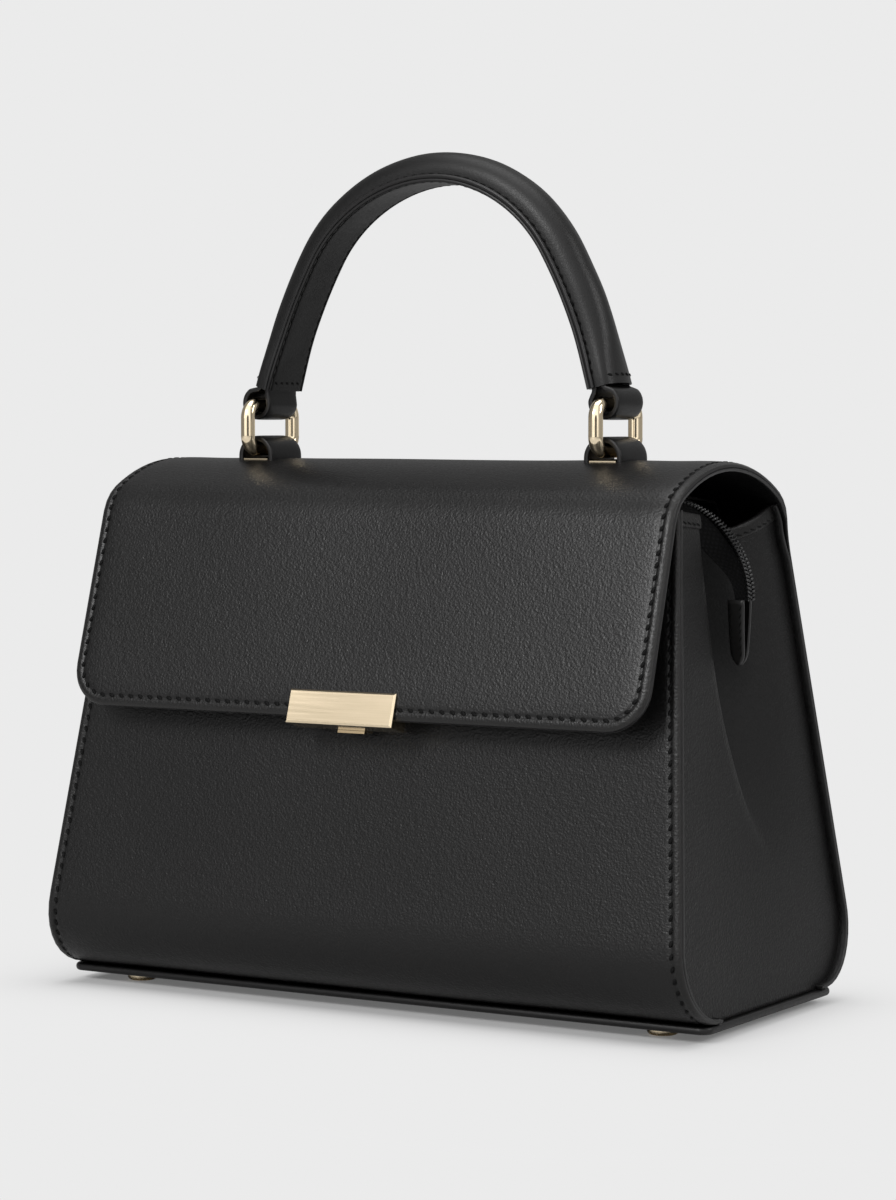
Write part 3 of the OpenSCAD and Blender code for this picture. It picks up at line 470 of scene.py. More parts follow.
# Darker calf for the backs, the flap's underside and the zip facings; its darkness is partly painted shade of
# the mouth and of the space under the flap
LINING_CALF = CalfLeather("black_calf_flap_lining", body="#070707", lit="#0a0a0a", sheen_rough=0.55, shine=0.12)
EDGE = EdgePaint()
THREAD = WaxedThread()
COIL = NylonCoil()
POLISHED, BRUSHED, SATIN = (PaleGold(work) for work in GoldWork)
NICKEL = PlatedSteel()
BLACKENED = PlatedSteel("black_plated_steel", 0.5, "#141414", "#1e1e1e")
# Black twill, its colour taken darker still as painted shade inside the mouth
TAPE = Woven("black_zip_twill", 0.9, "#030303", "#121213", 45.0)
LINING = Woven("black_lining_cloth", 0.8, "#0b0b0c", "#18181a")


class Line:
    """Smooth line in the plane of depth and height, walked by its length."""
    chord: float = 0.6

    def __init__(self, points: list | Array) -> None:
        """Measures the line through these points."""
        self.points = np.asarray(points, float)
        self.marks = run_of(self.points)

    @property
    def length(self) -> float:
        """Whole length of the line."""
        return float(self.marks[-1])

    def at(self, s: Array) -> Array:
        """Points at these lengths."""
        return sampled(s, self.marks, self.points)

    def normal(self, s: Array) -> Array:
        """Unit normals of short chords round these lengths, to the left of the walk."""
        a, b = self.at(np.maximum(s - self.chord, 0)), self.at(np.minimum(s + self.chord, self.length))
        t = unit(b - a)
        return np.stack([-t[..., 1], t[..., 0]], -1)


def arc(middle: tuple, radius: float, start: float, end: float, n: int = 40) -> Array:
    """Points of an arc in depth and height, its angles in degrees from the +Y side."""
    a = np.radians(np.linspace(start, end, n))
    return joined(middle[0] + radius * np.cos(a), middle[1] + radius * np.sin(a))


class Draft:
    """Mesh under construction, in millimetres, with finishes, lengthwise coordinates, rubbing and painted
    light.
    """
    weld_mm: float = 0.004
    sliver_mm: float = 0.002

    def __init__(self) -> None:
        """Starts empty."""
        self.points: list[Array] = []
        self.along: list[Array] = []
        self.wear_and_painted_light: list[Array] = []
        self.faces: list[tuple] = []
        self.marks: list[int] = []
        self.count = 0

    def add(self, points: Array, along: Array | None = None, wear_and_painted_light: Array | float = 0.0) -> Array:
        """Adds points of any grid shape.

        Args:
            points: Points, the last axis being X, Y and Z.
            along: Lengthwise and crosswise place of each point, in millimetres.
            wear_and_painted_light: Share of rubbing and painted sheen at each point; below zero, painted shade.

        Returns:
            The points' numbers, in the same grid shape.
        """
        shape = points.shape[:-1]
        flat = points.reshape(-1, 3)
        self.points.append(flat)
        self.along.append(np.zeros((len(flat), 2)) if along is None else
                          np.broadcast_to(along, shape + (2,)).reshape(-1, 2))
        self.wear_and_painted_light.append(np.broadcast_to(wear_and_painted_light, shape).reshape(-1).astype(float))
        numbers = np.arange(self.count, self.count + len(flat)).reshape(shape)
        self.count += len(flat)
        return numbers

    def skin(self, numbers: Array, mark: int, flip: bool = False) -> None:
        """Covers a grid of point numbers with four-sided faces of one finish."""
        a, b, c, d = numbers[:-1, :-1], numbers[:-1, 1:], numbers[1:, 1:], numbers[1:, :-1]
        quads = np.stack([a, d, c, b] if flip else [a, b, c, d], -1).reshape(-1, 4)
        self.faces.extend(map(tuple, quads.tolist()))
        self.marks.extend([mark] * len(quads))

    def cap(self, numbers: Array, mark: int) -> None:
        """Closes a loop of point numbers with one face."""
        self.faces.append(tuple(int(n) for n in numbers))
        self.marks.append(mark)

    def sheet(self, face: Array, back: Array, along: Array, wear_and_painted_light: Array | float = 0.0,
              back_wear: Array | float = 0.0, inside: int = 0, edge: int = 1, flip: bool = False,
              bulge: float = 0.1, steps: int = 4, joint: Array | None = None) -> None:
        """Adds a closed sheet: its face, its back and the rounded edge between them.

        Args:
            face: Grid of the face's points.
            back: Grid of the back's points.
            along: Lengthwise and crosswise place of each point.
            wear_and_painted_light: Rubbing, painted sheen and painted shade of the face.
            back_wear: Wear of the back.
            inside: Finish of the back.
            edge: Finish of the edge.
            flip: Whether the face looks to the other side.
            bulge: How far the edge stands out, as a share of the thickness.
            steps: Faces round the edge.
            joint: Depth of the line between two glued layers, at each point.
        """
        face_no, back_no = self.add(face, along, wear_and_painted_light), self.add(back, along, back_wear)
        self.skin(face_no, 0, flip=flip)
        self.skin(back_no, inside, flip=not flip)
        close_rim(self, face, back, face_no, back_no, edge, bulge, steps, joint)

    def build(self, name: str, shop: Workshop, finishes: list, sharp: float = 50.0,
              weld: bool = True) -> bpy.types.Object:
        """Turns the draft into a Blender object in the row frame.

        Args:
            name: Name of the piece.
            shop: Where the materials come from.
            finishes: Finish of each mark.
            sharp: Angle above which an edge stays sharp, in degrees.
            weld: Whether points that lie together become one.

        Returns:
            The new object, linked to the scene.
        """
        points = (np.concatenate(self.points) + (0.0, DEPTH_SHIFT, 0.0)) * MM
        mesh = bpy.data.meshes.new(name)
        mesh.from_pydata(points.tolist(), [], self.faces)
        mesh.polygons.foreach_set("material_index", self.marks)
        corners = np.zeros(len(mesh.loops), np.int32)
        mesh.loops.foreach_get("vertex_index", corners)
        layer = mesh.uv_layers.new(name="along")
        layer.data.foreach_set("uv", (np.concatenate(self.along)[corners] * MM).ravel())
        wear_and_painted_light = mesh.attributes.new("wear_and_painted_light", "FLOAT", "POINT")
        wear_and_painted_light.data.foreach_set("value", np.concatenate(self.wear_and_painted_light).astype(np.float32))
        for finish in finishes:
            mesh.materials.append(shop.get(finish))
        if weld:
            work = bmesh.new()
            work.from_mesh(mesh)
            bmesh.ops.remove_doubles(work, verts=work.verts, dist=self.weld_mm * MM)
            bmesh.ops.dissolve_degenerate(work, edges=work.edges, dist=self.sliver_mm * MM)
            bmesh.ops.recalc_face_normals(work, faces=work.faces)
            work.to_mesh(mesh)
            work.free()
        mesh.polygons.foreach_set("use_smooth", [True] * len(mesh.polygons))
        mesh.set_sharp_from_angle(angle=math.radians(sharp))
        mesh.validate()
        made = bpy.data.objects.new(name, mesh)
        bpy.context.scene.collection.objects.link(made)
        log.info("%s: %d points, %d faces", name, len(mesh.vertices), len(mesh.polygons))
        return made


def rim_loop(numbers: Array) -> Array:
    """Numbers round the outside of a grid, in order, without repeating the first."""
    return np.concatenate([numbers[0, :-1], numbers[:-1, -1], numbers[-1, :0:-1], numbers[:0:-1, 0]])


# Rings round a glued edge, as shares of its thickness, and half the width of its glue line
GLUED_RINGS = (0.12, 0.3, 0.45, 0.5, 0.55, 0.7, 0.88)
GLUE_LINE = 0.05


def close_rim(draft: Draft, face: Array, back: Array, face_no: Array, back_no: Array, mark: int,
              bulge: float, steps: int, joint: Array | None) -> None:
    """Joins the two sides of a sheet by a rounded, painted edge.

    Args:
        draft: Draft that gets the faces.
        face: Grid of the face's points.
        back: Grid of the back's points.
        face_no: Numbers of the face's points.
        back_no: Numbers of the back's points.
        mark: Finish of the edge.
        bulge: How far the edge stands out, as a share of the thickness.
        steps: Faces round the edge.
        joint: Depth of the line between two glued layers, at each point of the grid.
    """
    grid = np.arange(face.shape[0] * face.shape[1]).reshape(face.shape[:2])
    ids = rim_loop(grid)
    inside = np.pad(grid[1:-1, 1:-1], 1, mode="edge").ravel()[ids]
    p, q = face.reshape(-1, 3)[ids], back.reshape(-1, 3)[ids]
    into = p - face.reshape(-1, 3)[inside]
    thick = q - p
    span = np.maximum(np.linalg.norm(thick, axis=1, keepdims=True), 1e-6)
    into = unit(into - thick * np.sum(into * thick, 1, keepdims=True) / span ** 2)
    rings = [face_no.ravel()[ids]]
    sunk = 0.0 if joint is None else joint.ravel()[ids][:, None]
    for share in np.linspace(0, 1, steps + 1)[1:-1] if joint is None else GLUED_RINGS:
        a = math.pi * share
        line = 1 - min(1.0, abs(share - 0.5) / GLUE_LINE)
        ring = (p + q) / 2 - thick / 2 * math.cos(a) + into * (span * bulge * math.sin(a) - sunk * line)
        rings.append(draft.add(ring))
    rings.append(back_no.ravel()[ids])
    rings = np.stack(rings)
    draft.skin(np.concatenate([rings, rings[:, :1]], 1), mark)


def own(piece: bpy.types.Object, body: str, nodes: tuple[str, ...] = ()) -> None:
    """Lets a piece ride on a body and stand for CAD nodes, whose meshes it hides."""
    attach(piece, body)
    if nodes:
        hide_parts(*nodes)


def border_lines(length: float, edge: list[float], step: float, both: bool = True) -> Array:
    """Places across a length: close together at a sewn border, evenly spaced between.

    Args:
        length: The whole length.
        edge: Distances of the close lines from the border.
        step: Widest spacing between them.
        both: Whether both ends have the border, or only the far one.

    Returns:
        The places, rising from 0 to the length.
    """
    near, far = np.array(edge if both else [0.0]), length - np.array(edge)[::-1]
    n = max(2, int(round((far[0] - near[-1]) / step)))
    return np.concatenate([near, np.linspace(near[-1], far[0], n + 1)[1:-1], far])


# Distances from a sewn edge at which the mesh has lines, close together round the seam
SEAM_EDGE = [0.0, 0.3, 0.7, 1.2, 1.9, 2.5, 2.9, 3.3, 3.7, 4.1, 4.5, 5.0, 5.8, 7.0, 9.0, 12.0, 16.0]


def seam_relief(e: Array, seam: float, depth: float) -> Array:
    """Height of sewn leather at distance e from its edge: rounded rim, sunk seam, slight pillow."""
    rounding, rounded_run, groove_w, pillow, pillow_w = 0.42, 1.3, 0.7, 0.16, 1.0
    rim = -rounding * np.clip(1 - e / rounded_run, 0, 1) ** 2
    return rim - depth * bump_at(e, seam, groove_w) + pillow * bump_at(e, seam / 2, pillow_w)


def ripples(x: Array, y: Array, size: float, seed: int) -> Array:
    """Slow unevenness of hand-laid leather, between about -1 and 1 and the same at each run."""
    rng = np.random.default_rng(seed)
    waves, highest = 6, 4
    total = np.zeros(np.broadcast(x, y).shape)
    for _ in range(waves):
        angle, phase, scale = rng.uniform(0, math.pi), rng.uniform(0, 2 * math.pi), rng.uniform(0.7, 1.8)
        run = x * math.cos(angle) + y * math.sin(angle)
        total = total + np.sin(run * 2 * math.pi / (size * scale) + phase)
    return total / highest


@dataclass(frozen=True)
class Seam:
    """A row of saddle stitches."""
    pitch: float = 4.6
    length: float = 2.5
    width: float = 1.35
    height: float = 0.3
    slant: float = 0.42
    longest: float = 0.8
    sunk: float = 0.22
    flatness: float = 0.6

    def sew(self, draft: Draft, path: Array, up: Array, mark: int = 0, flip: float = 1.0) -> None:
        """Lays stitches along a path.

        Args:
            draft: Draft that gets the stitches.
            path: Points of the path, in order.
            up: Unit normal of the leather at each point.
            mark: Finish of the thread.
            flip: Side to which the stitches slant.
        """
        s = run_of(path)
        n = max(1, int(round(s[-1] / self.pitch)))
        pitch = s[-1] / n
        mids = (np.arange(n) + 0.5) * pitch
        # Rings of a stitch from end to end, close together where it dives into the leather
        share = np.array([-1.0, -0.86, -0.45, 0.0, 0.45, 0.86, 1.0])
        places = mids[:, None] + share * min(self.length, pitch * self.longest) / 2
        p, w = sampled(places, s, path), sampled(places, s, up)
        side = np.cross(unit(sampled(places + 0.3, s, path) - sampled(places - 0.3, s, path)), w)
        rise = self.height * (1 - share ** 4) - self.sunk * self.height
        size = np.sqrt(np.maximum(1 - np.abs(share) ** 3, 0.04))
        line = p + w * rise[:, None] + side * (share * self.slant * flip)[:, None]
        turn = np.linspace(0, 2 * math.pi, 7)
        across = (np.cos(turn) * self.width / 2)[:, None] * size[:, None, None]
        above = (np.sin(turn) * self.height * self.flatness)[:, None] * size[:, None, None]
        ring = line[:, :, None] + side[:, :, None] * across + w[:, :, None] * above
        for k in range(n):
            no = draft.add(ring[k], joined((places[k] - mids[k])[:, None], turn * self.width / 2))
            draft.skin(no, mark)
            draft.cap(no[0, :-1][::-1], mark)
            draft.cap(no[-1, :-1], mark)


BAND_SEAM = Seam(pitch=3.6, length=2.7, width=0.6, height=0.26)
HANDLE_SEAM = Seam(pitch=3.9, length=2.3, width=0.95, height=0.3, slant=0.3)
FACING_SEAM = Seam(pitch=3.4, length=2.5, width=0.55, height=0.26)
TAB_SEAM = Seam(pitch=2.9, length=2.1, width=0.5, height=0.26)


@dataclass(frozen=True)
class BagForm:
    """Outline that the leather pieces share."""
    panel_w: float = 290.0
    mouth_w: float = 253.0
    mouth_z: float = 194.0
    base_z: float = 6.5
    half_low: float = 76.5
    half_top: float = 44.0
    roll_r: float = 26.0
    tuck: float = 3.0
    leather_t: float = 2.0
    gusset_t: float = 1.4
    gusset_inset: float = 3.0
    pleat_d: float = 18.0
    pleat_end_z: float = 55.0
    crease_top_y: float = -23.0
    crease_low_y: float = 12.0
    fold_run: float = 8.0
    rear_band: float = 8.0
    pleat_rise: float = 1.4
    mouth_dip: float = 8.0
    mouth_fall_run: float = 24.0
    seam_clear: float = 0.1
    front_fall: float = 0.25
    fall_power: int = 6

    @property
    def lean(self) -> float:
        """Lean of the panels from upright, in radians."""
        return math.atan((self.half_low - self.half_top) / (self.mouth_z - self.base_z))

    @property
    def roll_z(self) -> float:
        """Height of the middle of the rolled lower edge."""
        return self.base_z + self.roll_r

    @property
    def roll_y(self) -> float:
        """Depth of the middle of the rolled lower edge."""
        a = self.lean
        return (self.half_low - (self.roll_z + self.roll_r * math.sin(a) - self.base_z) * math.tan(a)
                - self.roll_r * math.cos(a))

    def half_w(self, z: Array | float) -> Array:
        """Half the panels' width at height z."""
        return mix(self.panel_w / 2, self.mouth_w / 2, (z - self.base_z) / (self.mouth_z - self.base_z))

    def panel_y(self, z: Array | float, off: float) -> Array:
        """Distance of a panel's face from the middle at height z, off inside the leather."""
        a = self.lean
        run = self.half_low - (z - self.base_z) * math.tan(a) - off / math.cos(a)
        r = self.roll_r - off
        roll = self.roll_y + np.sqrt(np.maximum(0, r ** 2 - np.minimum(0, z - self.roll_z) ** 2))
        return np.where(z >= self.roll_z + r * math.sin(a), run, roll)

    def panel_line(self, top: float) -> Line:
        """Face of the back panel from its tucked end under the base up to height top."""
        a = math.degrees(self.lean)
        return Line(np.concatenate([
            [[self.roll_y - self.tuck, self.base_z]], arc((self.roll_y, self.roll_z), self.roll_r, -90, a),
            [[float(self.panel_y(top, 0.0)), top]]]))

    def pleat_share(self, z: Array | float) -> Array:
        """Share of the pleat's height that lies below z."""
        return np.clip((z - self.pleat_end_z) / (self.mouth_z - 1 - self.pleat_end_z), 0, 1)

    def crease_y(self, z: Array | float) -> Array:
        """Depth at which the pleat's fold starts at height z."""
        return mix(self.crease_low_y, self.crease_top_y, 1 - (1 - self.pleat_share(z)) ** 3)


@dataclass(frozen=True)
class FlapForm:
    """Profile of the flap, which goes over the crest from the back panel to its lower edge."""
    body: BagForm = BagForm()
    width: float = 258.0
    low_z: float = 114.6
    crest_z: float = 210.8
    front: float = 75.2
    lean_deg: float = 16.6
    thickness: float = 3.6
    corner_r: float = 16.0
    crest_r: float = 80.0
    shoulder_r: float = 19.0
    carry_y: float = -5.0
    run_gap: float = 0.3

    @property
    def crest_c(self) -> Array:
        """Middle of the crest's arc."""
        return np.array([self.carry_y, self.crest_z - self.crest_r])

    def shoulder(self, foot: Array, inward: Array, up: Array) -> Array:
        """Middle of the shoulder that touches the crest and a straight run."""
        q = foot + self.shoulder_r * inward - self.crest_c
        b, c = float(q @ up), float(q @ q) - (self.crest_r - self.shoulder_r) ** 2
        return foot + self.shoulder_r * inward + (-b + math.sqrt(b * b - c)) * up

    @property
    def face_up(self) -> Array:
        """Direction up along the flap's front."""
        a = math.radians(self.lean_deg)
        return np.array([math.sin(a), math.cos(a)])

    @property
    def face_in(self) -> Array:
        """Direction into the flap's front."""
        a = math.radians(self.lean_deg)
        return np.array([math.cos(a), -math.sin(a)])

    @property
    def rear_c(self) -> Array:
        """Middle of the rear shoulder."""
        a = self.body.lean
        return self.shoulder(np.array([self.body.half_top, self.body.mouth_z]),
                             np.array([-math.cos(a), -math.sin(a)]), np.array([-math.sin(a), math.cos(a)]))

    @property
    def front_c(self) -> Array:
        """Middle of the front shoulder."""
        return self.shoulder(np.array([-self.front, self.low_z]), self.face_in, self.face_up)

    @property
    def hinge(self) -> Array:
        """Line on the back panel's face at which the flap starts to bend."""
        z = self.rear_c[1] + self.shoulder_r * math.sin(self.body.lean) - self.run_gap
        return np.array([float(self.body.panel_y(z, 0.0)), z])

    def flap_points(self) -> Array:
        """Face of the flap from the rear shoulder over the crest to the lower edge."""
        def heading(c: Array) -> float:
            """Angle of a shoulder's middle seen from the crest's."""
            return math.degrees(math.atan2(c[1] - self.crest_c[1], c[0] - self.crest_c[0]))
        rear, front = heading(self.rear_c), heading(self.front_c)
        return np.concatenate([
            arc(tuple(self.rear_c), self.shoulder_r, math.degrees(self.body.lean), rear, 24),
            arc(tuple(self.crest_c), self.crest_r, rear, front, 40)[1:],
            arc(tuple(self.front_c), self.shoulder_r, front, 180 - self.lean_deg, 24)[1:],
            [[-self.front, self.low_z]]])


class SewnLeather:
    """A leather piece with a stitched border, laid along a line in depth and height."""
    pull_run: float = 12.0
    pull: float = 0.25
    seam_depth: float = 0.34
    seam_sunk: float = 0.48
    path_step: float = 1.5
    level_rim: float = 6.0
    relief_run: float = 22.0
    back_share: float = 0.6
    back_rounding: float = 0.25
    rubbed: float = 0.9
    rubbed_run: float = 1.1
    unit_half: float = 100.0

    def __init__(self, line: Line, half: Callable[[Array], Array], thick: Callable[[Array], Array],
                 outward: float, seam: float = 3.7, corner_r: float = 0.0) -> None:
        """Keeps what shapes the piece.

        Args:
            line: Its face from one end to the other.
            half: Half width at each length along the line.
            thick: Thickness at each length along the line.
            outward: 1 where the line's left is outside, -1 where it's inside.
            seam: Distance of the stitches from the edge.
            corner_r: Radius of the corners at the line's far end.
        """
        self.line, self.half, self.thick = line, half, thick
        self.outward, self.seam, self.corner_r = outward, seam, corner_r
        self.relief: Callable[[Array, Array], Array] = lambda x, s: np.zeros(np.broadcast(x, s).shape)
        # How far the pull of the seam draws the border down, fading out over pull_run
        self.drawn: Callable[[Array], Array] = lambda s: np.full(np.shape(s), self.pull)

    def point(self, x: Array, s: Array, off: Array | float) -> Array:
        """Points at width x and length s, off above the face."""
        x, s, off = np.broadcast_arrays(x, s, off)
        yz = self.line.at(s) + self.outward * self.line.normal(s) * off[..., None]
        return joined(x, yz[..., 0], yz[..., 1])

    def up(self, s: Array) -> Array:
        """Unit normals of the face at length s."""
        n = self.outward * self.line.normal(s)
        return joined(0.0, n[:, 0], n[:, 1])

    def grid(self, step: float, far_border: bool) -> tuple[Array, Array, Array]:
        """Widths, lengths and edge distances of the piece's points, corners rounded.

        Args:
            step: Widest spacing between points.
            far_border: Whether the far end has a sewn border too.

        Returns:
            Widths, lengths and distances from the sewn edge, as three grids.
        """
        length, border = self.line.length, SEAM_EDGE[-1]
        s = border_lines(length, SEAM_EDGE, step, both=False) if far_border else np.linspace(
            0, length, int(length / step) + 2)
        # Lines across are laid out on a piece of one width, then moved to the width at each length
        u = border_lines(2 * self.unit_half, SEAM_EDGE, step) - self.unit_half
        e_side = self.unit_half - np.abs(u)
        half = self.half(s)[:, None]
        inner = np.abs(u) / (self.unit_half - border)
        x = np.sign(u) * np.where(e_side <= border, half - e_side, inner * (half - border))
        ss = np.broadcast_to(s[:, None], x.shape).copy()
        e = np.broadcast_to(e_side, x.shape).copy()
        if far_border:
            r = self.corner_r
            a, b = r - (half - np.abs(x)), r - (length - ss)
            both = (a > 0) & (b > 0)
            top = np.maximum(a, b)
            angle = np.where(a >= b, b / np.maximum(a, 1e-9), 2 - a / np.maximum(b, 1e-9)) * math.pi / 4
            x = np.where(both, np.sign(x) * (half - r + top * np.cos(angle)), x)
            ss = np.where(both, length - r + top * np.sin(angle), ss)
            e = np.where(both, r - top, np.minimum(e, np.maximum(length - s[:, None], 0)))
        return x, ss, e

    def make(self, name: str, shop: Workshop, finishes: list, step: float, far_border: bool,
             joint: Callable[[Array, Array], Array] | None = None) -> bpy.types.Object:
        """Builds the piece as a closed sheet.

        Args:
            name: Name of the piece.
            shop: Where the materials come from.
            finishes: Finishes of face, edge and back.
            step: Widest spacing between points.
            far_border: Whether the far end has a sewn border too.
            joint: Depth of the line between two glued layers at each width and length.

        Returns:
            The new object.
        """
        x, s, e = self.grid(step, far_border)
        away = smooth((e - self.level_rim) / self.relief_run)
        near = np.clip(1 - e / self.pull_run, 0, 1) ** 2
        drawn = self.drawn(s)
        high = seam_relief(e, self.seam, self.seam_depth) + self.relief(x, s) * away - drawn * near
        low = (-self.thick(s) + self.relief(x, s) * away * self.back_share
               + self.back_rounding * np.clip(1 - e, 0, 1) ** 2 - (drawn - self.pull) * near)
        wear_and_painted_light = self.rubbed * np.clip(1 - e / self.rubbed_run, 0, 1) + 0.3 * bump_at(e, self.seam / 2, 1.0)
        draft = Draft()
        draft.sheet(self.point(x, s, high), self.point(x, s, low), joined(s, x), wear_and_painted_light, inside=2, bulge=0.12,
                    joint=joint(x, s) if joint else None)
        return draft.build(name, shop, finishes)

    def seam_path(self, start: float, end: float, side: float, over: float = 0.0) -> tuple[Array, Array]:
        """Path of a side seam from length start to length end, with its normals."""
        s = np.linspace(start, end, max(8, int(abs(end - start) / self.path_step)))
        off = over - self.seam_sunk * self.drawn(s)
        return self.point(side * (self.half(s) - self.seam), s, off), self.up(s)

    def round_path(self, over: float = 0.0, start: float = 0.0) -> tuple[Array, Array]:
        """Path of the seam down one side, round the far end and up the other side."""
        r, q, length = self.corner_r, self.corner_r - self.seam, self.line.length
        s = np.linspace(start, length - r, int((length - r - start) / self.path_step))
        half = float(self.half(np.array([length]))[0])
        bend = np.linspace(0, math.pi / 2, 14)[1:]
        xs = np.concatenate([self.half(s) - self.seam, half - r + q * np.cos(bend)])
        ss = np.concatenate([s, length - r + q * np.sin(bend)])
        xs, ss = np.concatenate([-xs, xs[::-1]]), np.concatenate([ss, ss[::-1]])
        return self.point(xs, ss, over - self.seam_sunk * self.drawn(ss)), self.up(ss)


SIDES = ((1.0, "right"), (-1.0, "left"))


@dataclass
class Body:
    """The shell: front panel, back panel with the flap in one leather, gussets and base."""
    shop: Workshop
    form: BagForm = field(default_factory=BagForm)
    flap: FlapForm = field(default_factory=FlapForm)
    seam: Seam = field(default_factory=Seam)
    stitch_sunk: float = 0.14
    stitch_start: float = 6.0
    side_trim: float = 0.25
    flap_trim: float = 0.6
    flap_pull: float = 0.8
    glue_depth: float = 0.32
    ring_x: float = 79.3
    row_half: float = 118.0
    row_in: float = 4.0
    flap_clear: float = 0.3
    band_h: float = 5.5
    band_t: float = 0.95
    band_in: float = 0.1
    allowance_in: float = 0.1
    base_side_in: float = 0.75
    base_past_roll: float = 8.2
    base_seam_in: float = 4.5
    foot_h: float = 3.5
    base_corner_r: float = 5.0
    base_edge_r: float = 1.1
    lining_low: float = 12.8
    lining_drop: float = 11.5
    lining_clear: float = 1.8
    lining_slack: float = 2.2
    lining_t: float = 0.8

    def front_panel(self) -> None:
        """Front panel, its mouth edge hidden under the flap."""
        line = self.form.panel_line(self.form.mouth_z)
        line = Line(line.points * (-1, 1))
        sheet = SewnLeather(line, lambda s: self.form.half_w(line.at(s)[..., 1]) - self.side_trim,
                            lambda s: np.full(np.shape(s), self.form.leather_t), 1.0)
        belly = Hump(0.5, 95, 45, 20, 110)
        sheet.relief = lambda x, s: 0.22 * ripples(x, s, 90.0, 5) + belly.at(x, s) - 0.1
        made = sheet.make("front_panel_leather", self.shop, [PANEL_CALF, EDGE, LINING_CALF], 5.0, False)
        own(made, "bag", ("front_panel",))
        draft = Draft()
        for side in (-1.0, 1.0):
            path, up = sheet.seam_path(self.stitch_start, line.length - 3.0, side, -self.stitch_sunk)
            self.seam.sew(draft, path, up, flip=side)
        row = np.linspace(-self.row_half, self.row_half, 160)
        at = np.full(len(row), line.length - self.row_in)
        self.seam.sew(draft, sheet.point(row, at, -0.02), sheet.up(at))
        own(draft.build("front_panel_stitches", self.shop, [THREAD], weld=False), "bag")

    def back_and_flap(self) -> None:
        """Back panel and flap, one leather that bends at the hinge line, with the flap's lining."""
        back = self.form.panel_line(float(self.flap.hinge[1]) - 0.1)
        line = Line(np.concatenate([back.points, self.flap.flap_points()]))
        turn = back.length

        def past(start: float, run: float) -> Callable[[Array], Array]:
            """Share that rises from 0 to 1 over a run which starts this far past the hinge line."""
            return lambda s: smooth((s - turn - start) / run)

        widened, doubled, drawn, glued = past(-14, 24), past(1, 6), past(10, 40), past(6, 10)

        def half(s: Array) -> Array:
            """Half width: the panel's slanting sides, then the flap's upright ones."""
            z = line.at(s)[..., 1]
            return mix(self.form.half_w(z), self.flap.width / 2 - self.flap_trim, widened(s)) - self.side_trim

        def thick(s: Array) -> Array:
            """One layer on the back, two layers in the flap."""
            return mix(self.form.leather_t, self.flap.thickness, doubled(s))

        sheet = SewnLeather(line, half, thick, -1.0, corner_r=self.flap.corner_r)
        end = line.length

        def relief(x: Array, s: Array) -> Array:
            """Soft hollows of the crest between the rings, a drawn-in front at the lock, slow waves."""
            hollow = Hump(-0.28, turn + 62, 26).at(x, s) * (1 - bump_at(np.abs(x), self.ring_x, 18))
            lock = Hump(-0.25, end - 22, 20, 0, 34).at(x, s)
            belly = Hump(0.5, end - 55, 26, 0, 110).at(x, s) * (1 - bump_at(x, 0, 40))
            rear = Hump(0.35, 95, 50, 0, 90).at(x, s)
            flat_at_lock = 1 - Hump(1.0, end - 4, 16, 0, 36).at(x, s)
            return (hollow + lock + belly + rear + 0.18 * ripples(x, s, 70.0, 11)) * flat_at_lock

        sheet.relief = relief
        sheet.drawn = lambda s: mix(sheet.pull, self.flap_pull, drawn(s))
        made = sheet.make("back_and_flap_leather", self.shop, [FLAP_CALF, EDGE, LINING_CALF], 4.5, True,
                          joint=lambda x, s: self.glue_depth * glued(s))
        self.fold(made)
        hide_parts("back_panel", "flap_outer", "flap_lining")
        draft = Draft()
        path, up = sheet.round_path(-self.stitch_sunk, self.stitch_start)
        self.seam.sew(draft, path, up)
        # The same seam seen from below, on the flap's lining
        low, low_up = sheet.round_path(-(self.flap.thickness - 0.1), turn + 75.0)
        self.seam.sew(draft, low, -low_up)
        thread = draft.build("back_and_flap_stitches", self.shop, [THREAD], weld=False)
        self.fold(thread)

    def fold(self, piece: bpy.types.Object) -> None:
        """Bakes a piece's placement into its mesh; the hinge line is read, but nothing bends."""
        y, z = self.flap.hinge
        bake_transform(piece)

    def rear_room(self, z: Array) -> Array:
        """Depth that the gusset has at height z behind the flap's thick lower end."""
        panel = self.form.panel_y(z, self.form.leather_t + self.form.seam_clear)
        r = self.flap.shoulder_r - self.flap.thickness
        c = self.flap.rear_c
        over = np.maximum(z, self.flap.hinge[1])
        d = over - c[1]
        straight = self.form.panel_y(over, self.flap.thickness)
        bent = c[0] + np.sqrt(np.maximum(0, r * r - d * d))
        inner = np.where(d < r * math.sin(self.form.lean), straight, bent)
        share = smooth((z - self.flap.hinge[1] + 16) / 15)
        return mix(panel, np.minimum(panel, inner - self.flap_clear), share)

    def gusset_grid(self, v: Array, off: float, ends: bool) -> tuple[Array, Array]:
        """Points of the right gusset.

        Args:
            v: Share of the height of each row.
            off: Distance out of the face, negative inwards.
            ends: Whether the seam allowances at both sides are added.

        Returns:
            Grid of points and the grid of their lengthwise and crosswise places.
        """
        f = self.form
        inside = f.leather_t + f.seam_clear
        z = mix(f.base_z + inside, f.mouth_z - 1, v)[:, None]
        edge = f.panel_y(z, inside) - f.gusset_t
        cut = edge + f.gusset_t - self.rear_room(z)
        c = np.minimum(f.crease_y(z), edge - f.fold_run - f.rear_band - 1)
